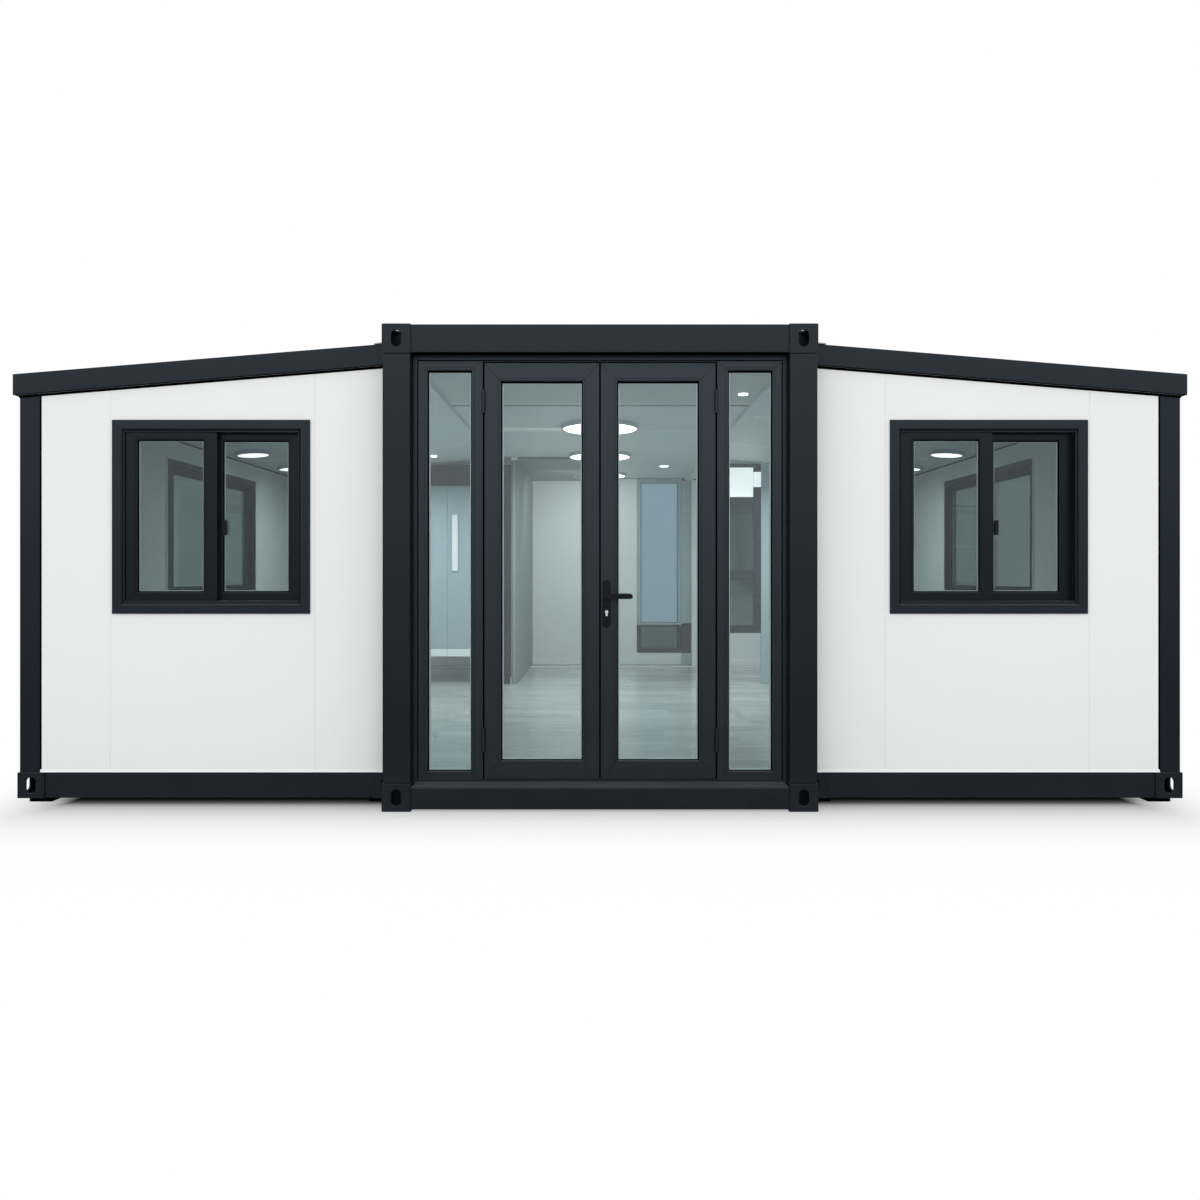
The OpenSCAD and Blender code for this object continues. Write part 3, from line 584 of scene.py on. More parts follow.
def makeSteelBare():
    material, tree, shader = newMaterial("steelBare", [("Metallic", 1.0)])
    streak = addNode(tree, "ShaderNodeGroup", node_tree=streakGroup)
    streak.inputs["Stretch"].default_value = (1.0, 1.0, 40.0)
    streak.inputs["Scale"].default_value = 90.0
    rough = addNode(tree, "ShaderNodeMapRange", [("Value", streak.outputs["Mask"]), ("To Min", 0.16), ("To Max", 0.34)])
    tone = addNode(tree, "ShaderNodeMix", [("Factor", streak.outputs["Mask"])], data_type="RGBA")
    tone.inputs["A"].default_value = srgb(186, 188, 190)
    tone.inputs["B"].default_value = srgb(224, 225, 226)
    tree.links.new(rough.outputs[0], shader.inputs["Roughness"])
    tree.links.new(tone.outputs["Result"], shader.inputs["Base Color"])
    return material
def makeBoardWood(name, light, dark):
    # printed wood grain drawn out along each board, which has a tone of its own
    material, tree, shader = newMaterial(name, [("Specular IOR Level", 0.5), ("Coat Weight", 0.25),
                                                ("Coat Roughness", 0.12)])
    sums = sumsIn(tree)
    tone = addNode(tree, "ShaderNodeAttribute", attribute_name="tone")
    streak = addNode(tree, "ShaderNodeGroup", node_tree=streakGroup)
    streak.inputs["Stretch"].default_value = (0.9, 16.0, 1.0)
    streak.inputs["Scale"].default_value = 2.6
    tree.links.new(sums("MULTIPLY", tone.outputs["Fac"], 37.0), streak.inputs["Shift"])
    grain = sums("MULTIPLY", sums("SUBTRACT", streak.outputs["Mask"], 0.5), 1.5)
    blend = sums("ADD", sums("ADD", grain, sums("MULTIPLY", tone.outputs["Fac"], 0.5)), 0.25)
    colour = addNode(tree, "ShaderNodeMix", data_type="RGBA", clamp_factor=True)
    tree.links.new(blend, colour.inputs["Factor"])
    colour.inputs["A"].default_value = srgb(*dark)
    colour.inputs["B"].default_value = srgb(*light)
    rough = addNode(tree, "ShaderNodeMapRange", [("Value", streak.outputs["Mask"]), ("To Min", 0.32), ("To Max", 0.2)])
    bump = addNode(tree, "ShaderNodeBump", [("Height", streak.outputs["Mask"]), ("Strength", 0.08), ("Distance", 0.4 * mm)])
    tree.links.new(colour.outputs["Result"], shader.inputs["Base Color"])
    tree.links.new(rough.outputs[0], shader.inputs["Roughness"])
    tree.links.new(bump.outputs[0], shader.inputs["Normal"])
    return material


def makeGlass(name, tint, passed, roughness=0.0):
    # shadow and diffuse rays go straight through, so rooms are lit through the panes
    material, tree, shader = newMaterial(name, [("Base Color", tint), ("Roughness", roughness), ("IOR", 1.45),
                                                ("Transmission Weight", 1.0)])
    rays = addNode(tree, "ShaderNodeLightPath")
    straight = sumsIn(tree)("MAXIMUM", rays.outputs["Is Shadow Ray"], rays.outputs["Is Diffuse Ray"])
    clear = addNode(tree, "ShaderNodeBsdfTransparent", [("Color", passed)])
    mix = addNode(tree, "ShaderNodeMixShader", [(0, straight), (1, shader.outputs[0]), (2, clear.outputs[0])])
    tree.links.new(mix.outputs[0], tree.nodes["Material Output"].inputs["Surface"])
    return material


def makeGlow(name, strength, through=0.0):
    # "through" is what tinted panes take from the light, given back to rays that come through them
    material, tree, shader = newMaterial(name, [("Base Color", (0.9, 0.9, 0.88, 1)), ("Roughness", 0.35),
                                                ("Emission Color", (1, 0.99, 0.97, 1)), ("Emission Strength", strength)])
    if through:
        sums = sumsIn(tree)
        rays = addNode(tree, "ShaderNodeLightPath")
        seen = sums("ADD", sums("MULTIPLY", rays.outputs["Is Transmission Ray"], through), strength)
        tree.links.new(seen, shader.inputs["Emission Strength"])
    spot = addNode(tree, "ShaderNodeTexCoord").outputs["Object"]
    grain = addNode(tree, "ShaderNodeTexNoise", [("Vector", spot), ("Scale", 900.0)])
    bump = addNode(tree, "ShaderNodeBump", [("Height", grain.outputs["Fac"]), ("Strength", 0.1), ("Distance", 0.2 * mm)])
    tree.links.new(bump.outputs[0], shader.inputs["Normal"])
    return material


steelBare = makeSteelBare()
paleBoards = makeBoardWood("paleBoards", (200, 203, 202), (150, 156, 156))
greyBoards = makeBoardWood("greyBoards", (158, 164, 162), (132, 139, 138))
clearGlass = makeGlass("clearGlass", (0.86, 0.92, 0.93, 1), (0.86, 0.92, 0.93, 1))
# the window panes darken the rooms seen through them more than the light they let in: painted shade
windowGlass = makeGlass("windowGlass", (0.56, 0.62, 0.62, 1), (0.86, 0.92, 0.92, 1))
frostedGlass = makeGlass("frostedGlass", (0.5, 0.6, 0.64, 1), (0.5, 0.6, 0.64, 1), 0.35)
darkGlass = makeGlass("darkGlass", (0.2, 0.27, 0.25, 1), (0.2, 0.27, 0.25, 1), 0.25)
lampGlow = makeGlow("lampGlow", 1.6, through=2.0)
# the screen's cards glow though they are no lamps: painted light
cardPaintedGlow = makeGlow("cardPaintedGlow", 0.75)
# a faint glow that paints a pool of lamp light on the ceiling
paintedLightWash = makeGlow("paintedLightWash", 0.08)

slotMaterials = {
    "frame_paint": framePaint, "door_aluminium": doorCoat, "window_aluminium": windowCoat,
    "white_panel": panelSkin, "floor_board": boardUnderside, "clear_glass": clearGlass,
    "black_hardware": blackCoat, "bare_steel": steelBare, "seal_rubber": sealRubber,
    "foot_rubber": sealRubber, "lamp_diffuser": lampGlow,
}
for entry in frame["record"]["subparts"]:
    node = frame["nodes"][entry["node"]]
    node.data.materials.clear()
    node.data.materials.append(slotMaterials[entry["material_slot"]])
print("materials made")

# steelwork, panels and roofs

edgeRounds = {"post": 6 * mm, "beam": 4 * mm, "casting": 4 * mm, "wing": 3 * mm,
              "panel": 1.2 * mm, "roof": 2 * mm, "pad": 2 * mm}
for node, kind in (("portal_posts", "post"), ("bottom_cross_beams", "beam"), ("side_rails", "beam"),
                   ("top_castings", "casting"), ("bottom_castings", "casting"), ("wing_posts", "wing"),
                   ("wing_base_beams", "wing"), ("wing_castings", "wing")):
    softened(node, node + "Steel", framePaint, "frame_paint", edgeRounds[kind], segments=3 if kind == "post" else 2)
for node, kind in (("top_cross_beams", "beam"), ("wing_fascias", "wing")):
    # their undersides take the black rubber finish as painted shade under the beams and fascias
    softened(node, node + "Steel", framePaint, "frame_paint", edgeRounds[kind], lining=sealRubber)
softened("wing_feet", "wingPads", sealRubber, "foot_rubber", edgeRounds["pad"])
for node in ("left_front_wall", "right_front_wall", "left_rear_wall", "right_rear_wall", "left_side_wall",
             "right_side_wall", "rear_wall"):
    softened(node, node + "Panels", panelSkin, "white_panel", edgeRounds["panel"])
# the partition's side towards the passage takes the painted shade grey
softened("partition", "partitionPanels", panelSkin, "white_panel", edgeRounds["panel"], lining=paintedShadeGrey, lined=(1, 0, 0))
for node in ("wing_roofs", "centre_roof"):
    softened(node, node + "Sheet", roofSheet, "white_panel", edgeRounds["roof"], lining=ceilingSkin)
print("steelwork and panels made")


# glazing, the same in the door unit, the rear light and the windows

def glazedProfile(depth, given):
    # chamfered outside edge, flat face, a clipped-in bead and its rounded lip at the glass
    bead, joint, lip, edge = given["bead"], given["beadJoint"], given["beadRound"], given["chamfer"]
    return [(0, 0, depth), (0, 0, edge), (0, edge * 0.3, edge * 0.3), (0, edge, 0), (1, -bead - joint, 0),
            (1, -bead - joint * 0.7, joint * 1.6), (1, -bead - joint * 0.3, joint * 1.6), (1, -bead, 0),
            (1, -lip, 0), (1, -lip * 0.3, lip * 0.3), (1, 0, lip), (1, 0, depth - edge), (1, -edge, depth)]


def addGlazing(shapes, place, pane, given):
    # two sheets with a spacer between them and rubber on both sides; pane is the clear opening; where the head rubber
    # is deeper than the sides, the extra is painted shade under the head rail
    glass, rubber, spacer = shapes
    front, back, sheet, hair = given["frontSheet"], given["backSheet"], given["sheet"], given["hair"]
    left, right, bottom, top = grown(pane, given["tuck"])
    for depth in (front, back):
        addBox(glass, (left, depth, bottom), (right, depth + sheet, top), place=place)
    side, head, foot, deep = given["gasketSide"], given["gasketTop"], given["gasketFoot"], given["gasketDeep"]
    for near, far in ((front - deep, front - hair), (back + sheet + hair, back + sheet + deep)):
        addBars(rubber, pane, (side, side, side * foot, head),
                [(0, -2 * mm, far), (0, -2 * mm, near), (0.7, 0, near), (1, 0, far)], place=place, mitreGap=0)
    grey, near, far = given["spacer"], front + sheet, back
    lip = [(1, 2 * mm, near + 2 * mm), (1, 2 * mm, far - 2 * mm)] if given["spacerLip"] else []
    addBars(spacer, grown(pane, 2 * mm), (side + grey, side + grey, side * foot + grey, head + grey * given["spacerHead"]),
            [(0, 0, far - hair), (0, 0, near + hair), (1, 1 * mm, near + hair), *lip, (1, 1 * mm, far - hair)],
            place=place, mitreGap=0)


def showGlazing(names, shapes, finish, node=None, body="house", rubberFinish=sealRubber):
    showShape(names[0], shapes[0], finish, body=body, slot="clear_glass", replaces=(node,) if node else (), smooth=False)
    showShape(names[1], shapes[1], rubberFinish, body=body, slot="seal_rubber", smooth=False)
    showShape(names[2], shapes[2], spacerGrey, body=body, slot="bare_steel", smooth=False)


def glazePanes(name, panes, place, finish, node, given, **settings):
    shapes = [bmesh.new() for _ in range(3)]
    for pane in panes:
        addGlazing(shapes, place, pane, given)
    showGlazing([name + part for part in ("Glass", "Gaskets", "Spacers")], shapes, finish, node, **settings)


# the door unit: strip, sill, sidelights, stops, leaves and their glass

doorUnit = {
    "groove": 6 * mm, "grooveDepth": 18 * mm, "ridge": 2 * mm,
    "chamfer": 2 * mm, "bead": 13 * mm, "beadJoint": 1.8 * mm, "beadRound": 3.5 * mm,
    # the head gasket is deeper than the sides as painted shade under the head rail
    "gasketSide": 6 * mm, "gasketTop": 9 * mm, "gasketFoot": 0.7, "gasketDeep": 4 * mm,
    "spacer": 5 * mm, "spacerHead": 0.5, "spacerLip": True,
    "sheet": 4 * mm, "frontSheet": 15 * mm, "backSheet": 31 * mm, "tuck": 5 * mm, "hair": 0.2 * mm,
    "mullion": 57 * mm, "bar": 48 * mm, "stop": 21 * mm, "stopDepth": 55 * mm,
    "sillRise": 17 * mm, "sillLip": 3 * mm, "sillSlant": 16 * mm, "sillRibs": (0.3, 0.55, 0.8),
    "finFront": (5 * mm, 12 * mm), "finBack": (14 * mm, 20 * mm),
    "knuckle": 6.5 * mm, "hingeWing": 9 * mm, "knuckleGap": 0.5 * mm,
}
unitLow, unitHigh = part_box("door_frame")
unitDepth = unitHigh.y - unitLow.y
unitPlace = Matrix.Translation((0, unitLow.y, 0))
sidePanes = [outlineOf(box) for box in solidsOf("sidelight_glass")]
sideLow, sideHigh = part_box("sidelight_frames")


def makeDoorFrame(given=doorUnit):
    shape = bmesh.new()
    side = unitHigh.x - sideHigh.x - given["groove"]
    tall = sideLow.z - unitLow.z
    ridge, groove, depth = given["ridge"], given["groove"], given["grooveDepth"]
    addBars(shape, (unitLow.x, unitHigh.x, unitLow.z, unitHigh.z), (side, side, tall, tall),
            [(0, 0, unitDepth), (0, 0, ridge), (0, 6 * mm, ridge), (0, 8 * mm, 0), (0, 12 * mm, 0), (0, 14 * mm, ridge),
             (1, -1 * mm, ridge), (1, 0, ridge * 2), (1, 0, depth), (1, groove, depth), (1, groove, unitDepth)],
            place=unitPlace)
    stopRing = (-sidePanes[1][0] + given["mullion"], sidePanes[1][0] - given["mullion"], sideLow.z, sideHigh.z)
    stop, stopAt = given["stop"], given["stopDepth"]
    addBars(shape, stopRing, (stop,) * 4,
            [(0, 0, unitDepth), (0, 0, stopAt), (1, -1 * mm, stopAt), (1, 0, stopAt + 1 * mm),
             (1, 0, unitDepth - 1 * mm), (1, -1 * mm, unitDepth)], place=unitPlace, mitreGap=0)
    showShape("doorStripAndStops", shape, doorCoat, slot="door_aluminium", replaces=("door_frame",))
    rubber = bmesh.new()
    addBars(rubber, stopRing, (12 * mm,) * 4,
            [(0, 3 * mm, stopAt), (0, 3 * mm, stopAt - 4 * mm), (0.5, 2 * mm, stopAt - 4.4 * mm),
             (1, 0, stopAt - 3 * mm), (1, 0, stopAt)], place=unitPlace, mitreGap=0)
    showShape("stopSeals", rubber, sealRubber, slot="seal_rubber")


def makeSill(given=doorUnit):
    # a folded plate that sheds water from the unit over the front beam, its ends cut on a slant
    low = unitLow.z + 0.3 * mm
    front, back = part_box("bottom_cross_beams")[0].y + 3 * mm, unitLow.y - 0.5 * mm
    rise, lip = given["sillRise"], given["sillLip"]
    half = unitHigh.x - 2 * mm
    run = back - front
    outline = [(front, low), (front, low + lip), (front + 3 * mm, low + lip + 2.5 * mm)]
    for share in given["sillRibs"]:
        # a shallow groove across the slope
        y, z = front + run * share, low + lip + (rise - lip) * share
        outline += [(y - 3 * mm, z), (y - 1.5 * mm, z - 2.5 * mm), (y + 1.5 * mm, z - 2.5 * mm),
                    (y + 3 * mm, z + 0.8 * mm)]
    outline += [(back - 3 * mm, low + rise), (back, low + rise + 1.5 * mm), (back, low)]

    def endAt(y):
        return half - (y - front) / run * given["sillSlant"]

    shape = bmesh.new()
    addPrism(shape, outline, (lambda y: -endAt(y), endAt))
    showShape("doorSill", shape, doorCoat, slot="door_aluminium", smooth=False)


def makeSidelights(given=doorUnit):
    shape = bmesh.new()
    for left, right, bottom, top in sidePanes:
        outer, inner = given["bar"], given["mullion"]
        sides = (outer, inner) if left < 0 else (inner, outer)
        addBars(shape, (left - sides[0], right + sides[1], sideLow.z, sideHigh.z),
                (*sides, bottom - sideLow.z, sideHigh.z - top), glazedProfile(unitDepth, given), place=unitPlace)
    showShape("sidelightBars", shape, doorCoat, slot="door_aluminium", replaces=("sidelight_frames",))
    glazePanes("sidelight", sidePanes, unitPlace, clearGlass, "sidelight_glass", given)


def makeLeaf(side, given=doorUnit):
    body, node = side + "_door", side + "_leaf"
    low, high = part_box(node)
    left, right, bottom, top = pane = outlineOf(solidsOf(node + "_glass")[0])
    place = Matrix.Translation((0, low.y, 0))
    shape = bmesh.new()
    addBars(shape, (low.x, high.x, low.z, high.z), (left - low.x, high.x - right, bottom - low.z, high.z - top),
            glazedProfile(high.y - low.y, given), place=place)
    showShape(side + "LeafBars", shape, doorCoat, body=body, slot="door_aluminium", replaces=(node,))
    glazePanes(side + "Leaf", [pane], place, clearGlass, node + "_glass", given, body=body)
    # the rubber fins that close the meeting gap: the right leaf's lies in front, as it opens first
    gap = 2 * min(abs(low.x), abs(high.x))
    near, far = (low.y + depth for depth in given["finFront" if side == "right" else "finBack"])
    ends = (low.x - gap + 1 * mm, low.x + 0.5 * mm) if side == "right" else (high.x - 0.5 * mm, high.x + gap - 1 * mm)
    fin = bmesh.new()
    addBox(fin, (ends[0], near, low.z + 4 * mm), (ends[1], far, high.z - 4 * mm), 1 * mm)
    showShape(side + "LeafFin", fin, sealRubber, body=body, slot="seal_rubber")


def makeHinges(given=doorUnit):
    # turns a prism's x to the house's z, and its z to the house's x
    upright = Matrix(((0, 0, 1, 0), (0, 1, 0, 0), (1, 0, 0, 0), (0, 0, 0, 1)))
    pins = [joint["pos_m"] for joint in frame["joints"] if joint["name"].endswith("door_hinge")]
    radius, wing, gap = given["knuckle"], given["hingeWing"], given["knuckleGap"]
    leafSpans = [(low.z, high.z) for low, high in solidsOf("left_leaf_hinges")]
    tall = leafSpans[0][1] - leafSpans[0][0]
    for node in ("frame_hinges", "left_leaf_hinges", "right_leaf_hinges"):
        shape = bmesh.new()
        for low, high in solidsOf(node):
            # slim round knuckles on the leaf's axis, each with a black wing on the frame's or the leaf's side; the
            # wings' black rubber finish paints the shaded gaps beside the knuckles
            x, y, _ = min(pins, key=lambda pin: abs(pin[0] - low.x))
            fixed = node == "frame_hinges"
            between = next(ends for ends in leafSpans if low.z - gap < ends[0] < high.z)
            near, far = sorted((x, x + math.copysign(wing, x if fixed else -x)))
            turns = [turn * math.pi / 12 for turn in range(24)]
            outline = [(y - radius * math.cos(turn), x + radius * math.sin(turn)) for turn in turns]
            spans = ((low.z, between[0] - gap), (between[1] + gap, high.z)) if fixed else (between,)
            for ends in spans:
                addPrism(shape, outline, ends, upright)
            start = len(shape.faces)
            for bottom, top in spans:
                addBox(shape, (near, y + radius - 2 * mm, bottom), (far, high.y - 1 * mm, top))
            addBox(shape, (near, y + radius + 0.4 * mm, between[0] - tall), (far, high.y - 0.2 * mm, between[1] + tall))
            shape.faces.ensure_lookup_table()
            for face in shape.faces[start:]:
                face.material_index = 1
        showShape(node + "Turned", shape, [doorCoat, sealRubber], body=frame["nodes"][node]["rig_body"],
                  slot="black_hardware", replaces=(node,))


def makeLock():
    softened("backplates", "leverPlates", blackCoat, "black_hardware", 1.6 * mm, segments=3)
    softened("lever_handle", "leverGrips", blackCoat, "black_hardware", 3.2 * mm, segments=3)
    softened("lock_cylinder", "lockFace", nickel, "bare_steel", 0.6 * mm)
    low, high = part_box("lock_cylinder")
    middle, half, top = (low.x + high.x) / 2, 0.9 * mm, high.z
    keyway = bmesh.new()
    addBox(keyway, (middle - half, low.y - 0.3 * mm, top - 15 * mm), (middle + half, low.y + 1 * mm, top - 4 * mm), 0.3 * mm)
    showShape("keyway", keyway, sealRubber, body="right_door", slot="black_hardware")


makeDoorFrame()
makeSill()
makeSidelights()
makeLeaf("left")
makeLeaf("right")
makeHinges()
makeLock()
print("door unit made")


# windows

windowUnit = {
    "trim": 52 * mm, "proud": 12 * mm, "step": 5 * mm, "rail": 6 * mm, "railProud": 3 * mm, "depth": 74 * mm,
    "tracks": (1 * mm, 34.5 * mm, 69 * mm), "trackThick": 4 * mm,
    "stile": 70 * mm, "rungs": 46 * mm, "sashGap": 6 * mm, "sashThick": 28 * mm, "sashOverlap": 26 * mm,
    "chamfer": 1.5 * mm, "bead": 11 * mm, "beadJoint": 1.5 * mm, "beadRound": 3 * mm,
    "frontSheet": 8 * mm, "backSheet": 17 * mm, "sheet": 3 * mm, "tuck": 5 * mm, "hair": 0.2 * mm,
    "gasketSide": 5 * mm, "gasketTop": 6 * mm, "gasketFoot": 0.8, "gasketDeep": 3 * mm,
    "spacer": 5 * mm, "spacerHead": 0.6, "spacerLip": False,
    "latchWide": 20 * mm, "latchTall": 80 * mm, "latchProud": 12 * mm, "latchUp": 460 * mm, "latchIn": 74 * mm,
    "wall": 75 * mm, "roomBand": 42 * mm, "roomProud": 6 * mm, "roomRim": 10 * mm,
}
windowSolids = solidsOf("window_frames")
print("windows found", len(windowSolids))


def windowSpot(low, high):
    # a window's place in its wall, half its width, and the heights of its sill and head
    centre = (low + high) / 2
    if high.x - low.x > high.y - low.y:
        outward = (0, math.copysign(1, centre.y), 0)
        at = (centre.x, math.copysign(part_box("right_rear_wall")[1].y, centre.y), 0)
    else:
        outward = (math.copysign(1, centre.x), 0, 0)
        at = (math.copysign(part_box("right_side_wall")[1].x, centre.x), centre.y, 0)
    return wallSide(outward, at), max(high.x - low.x, high.y - low.y) / 2, low.z, high.z


def addWindowBox(frames, spot, track, given):
    # the trim, the box behind it with a thin rail in front of the sashes, and tracks along the bottom
    place, half, sill, head = spot
    trim, proud = given["trim"], given["proud"]
    addBars(frames, (-half, half, sill, head), (trim,) * 4,
            [(0, 0, 0), (0, 0, -proud + 3 * mm), (0, 3 * mm, -proud), (1, -5 * mm, -proud), (1, 0, -proud + 5 * mm),
             (1, 0, 0)], place=place)
    opening = left, right, bottom, top = (-half + trim, half - trim, sill + trim, head - trim)
    step, rail, railFace, depth = given["step"], given["rail"], -given["railProud"], given["depth"]
    railEnd = step + rail
    addBars(frames, grown(opening, trim * 0.6), (trim * 0.6,) * 4,
            [(0, 0, depth), (0, 0, 0.5 * mm), (1, 0, 0.5 * mm), (1, step, 3 * mm), (1, step, railFace),
             (1, step + 1 * mm, railFace - 1 * mm), (1, railEnd - 1 * mm, railFace - 1 * mm), (1, railEnd, railFace),
             (1, railEnd, 4 * mm), (1, 1 * mm, 5 * mm), (1, 0, depth)], place=place)
    for near in given["tracks"]:
        far, low = near + given["trackThick"], bottom - 1 * mm
        addBox(frames, (left, near, low), (right, far, low + track), 0.8 * mm, place)
    addBox(frames, (left, 2 * mm, bottom - 2 * mm), (right, 72 * mm, bottom + track * 0.4), 0, place)
    return opening


def addSashes(shapes, latches, place, sill, opening, track, given):
    # the outer sash and, behind it, the inner one with its latch; gives each one's place and pane
    gap, stile, rung = given["sashGap"], given["stile"], given["rungs"]
    wide = (opening[1] - opening[0]) / 2 - gap + given["sashOverlap"]
    bottom, top = opening[2] + track, opening[3] - gap
    panes = []
    for side, shape, depth in ((-1, shapes[0], gap), (1, shapes[1], 2 * gap + given["sashThick"])):
        centre = side * (opening[1] - gap - wide / 2)
        left, right = centre - wide / 2, centre + wide / 2
        sashPlace = place @ Matrix.Translation((0, depth, 0))
        addBars(shape, (left, right, bottom, top), (stile, stile, rung, rung), glazedProfile(given["sashThick"], given),
                place=sashPlace)
        panes.append((sashPlace, (left + stile, right - stile, bottom + rung, top - rung)))
    left, up, tall = left + given["latchIn"], sill + given["latchUp"], given["latchTall"]
    addBox(latches, (left, depth - given["latchProud"], up - tall / 2),
           (left + given["latchWide"], depth + 1 * mm, up + tall / 2), 3 * mm, place)
    return panes


def addRoomTrim(frames, liner, place, opening, given):
    # in the room, a flat band and a pale rim cover the joint
    band, rim, wall = given["roomBand"], given["roomRim"], given["wall"]
    near, face = wall + 0.2 * mm, wall + given["roomProud"]
    addBars(frames, grown(opening, band), (band,) * 4,
            [(0, 0, near), (0, 0, face), (1, -2 * mm, face), (1, 0, face - 2 * mm), (1, 0, near)], place=place)
    addBars(liner, grown(opening, band + rim), (rim,) * 4,
            [(0, 0, near), (0, 0, face + 1 * mm), (0, 2 * mm, face + 3 * mm), (1, 0, face + 3 * mm), (1, 0, near)],
            place=place)


def makeWindows(given=windowUnit):
    frames, outer, inner, latches, liner = (bmesh.new() for _ in range(5))
    spots = [windowSpot(low, high) for low, high in windowSolids]
    panes = []
    for spot in spots:
        place, _, sill, _ = spot
        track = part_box("outer_sashes")[0].z - sill - given["trim"]
        opening = addWindowBox(frames, spot, track, given)
        panes += addSashes((outer, inner), latches, place, sill, opening, track, given)
        addRoomTrim(frames, liner, place, opening, given)
    showShape("windowBoxes", frames, windowCoat, slot="window_aluminium", replaces=("window_frames",))
    showShape("outerSashBars", outer, sashCoat, slot="window_aluminium", replaces=("outer_sashes",))
    showShape("innerSashBars", inner, sashCoat, slot="window_aluminium", replaces=("inner_sashes",))
    showShape("windowLatches", latches, blackCoat, slot="black_hardware")
    showShape("windowLiners", liner, whiteTrim, slot="white_panel")
    shapes = [bmesh.new() for _ in range(3)]
    for place, pane in panes:
        addGlazing(shapes, place, pane, given)
    showGlazing(("windowPanes", "windowGaskets", "windowSpacers"), shapes, windowGlass, "sash_glass")
    return spots


windowSpots = makeWindows()
print("windows made")


# rear light

rearLight = dict(doorUnit, gasketTop=5 * mm, gasketSide=5 * mm)


def makeRearLight(given=rearLight):
    low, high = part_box("rear_light_frame")
    lowPane, highPane = sorted((outlineOf(box) for box in solidsOf("rear_light_glass")), key=lambda pane: pane[2])
    transom = (lowPane[3] + highPane[2]) / 2
    place = wallSide((0, 1, 0), (0, high.y, 0))
    shape = bmesh.new()
    flipped = []
    for pane, bottom, top in ((lowPane, low.z, transom), (highPane, transom, high.z)):
        left, right = -pane[1], -pane[0]
        addBars(shape, (-high.x, -low.x, bottom, top), (left + high.x, -low.x - right, pane[2] - bottom, top - pane[3]),
                glazedProfile(high.y - low.y, given), place=place)
        flipped.append((left, right, pane[2], pane[3]))
    # pale towards the room above the transom, as the upper light's lining is
    for face in shape.faces:
        spot = face.calc_center_median()
        face.material_index = 1 if spot.z > transom and spot.y < low.y + 1 * mm else 0
    showShape("rearLightBars", shape, [doorCoat, paleBlue], slot="door_aluminium", replaces=("rear_light_frame",))
    glazePanes("rearLightLower", flipped[:1], place, darkGlass, None, given)
    glazePanes("rearLightUpper", flipped[1:], place, frostedGlass, "rear_light_glass", given, rubberFinish=passageGrey)


makeRearLight()


# rooms: boards, skirting, passage ceiling, ceiling joints, blind and lamps

rooms = {
    "boardLength": 1.22, "boardWidth": 0.181, "boardThick": 2.5 * mm, "boardJoint": 0.8 * mm, "greyFrom": 2.53,
    "skirtTall": 70 * mm, "skirtThick": 10 * mm, "thresholdWide": 30 * mm,
    "joinWide": 32 * mm, "joinThick": 1.5 * mm, "joinEvery": 1.18, "joinEnd": 0.11, "wingJoinEnd": 0.19,
    "soffitWide": 0.64, "soffitDrop": 28 * mm,
}
floorLow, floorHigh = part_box("centre_floor")
partLow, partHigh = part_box("partition")
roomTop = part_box("centre_roof")[0].z
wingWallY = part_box("right_rear_wall")[1].y - windowUnit["wall"]
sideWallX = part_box("right_side_wall")[1].x - windowUnit["wall"]
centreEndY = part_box("rear_wall")[0].y
foldX = floorHigh.x


def makeBoards(given=rooms):
    deck, grey = floorHigh.z + 0.2 * mm, given["greyFrom"]
    thick = given["boardThick"]
    for name, finish, left, right, near, far, seed in (
            ("centre", paleBoards, -foldX, foldX, floorLow.y, grey, 3),
            ("centreRear", greyBoards, -foldX, foldX, grey, floorHigh.y, 5),
            ("left", paleBoards, -sideWallX, -foldX, -wingWallY, grey, 7),
            ("leftRear", greyBoards, -sideWallX, -foldX, grey, wingWallY, 8),
            ("right", paleBoards, foldX, sideWallX, -wingWallY, grey, 9),
            ("rightRear", greyBoards, foldX, sideWallX, grey, wingWallY, 4)):
        host = bpy.data.meshes.new(name + "Host")
        host.from_pydata([(0, 0, 0)], [], [])
        mesh = treeMesh(name + "Boards", planksTree, host, {
            "Size X": right - left, "Size Y": far - near, "Board Length": given["boardLength"],
            "Board Width": given["boardWidth"], "Thickness": thick, "Joint": given["boardJoint"],
            "Seed": seed, "Finish": finish})
        mesh.transform(Matrix.Translation(((left + right) / 2, (near + far) / 2, deck + thick / 2)))
        showMesh(name + "Boards", mesh, finish, slot="floor_board", smooth=False)
    strips = bmesh.new()
    wide, top = given["thresholdWide"] / 2, deck + thick
    for left, right in ((-sideWallX, partLow.x), (partHigh.x, sideWallX)):
        addBox(strips, (left, grey - wide, top - 1 * mm), (right, grey + wide, top + 5 * mm), 1 * mm)
    showShape("thresholds", strips, whiteTrim, slot="bare_steel")


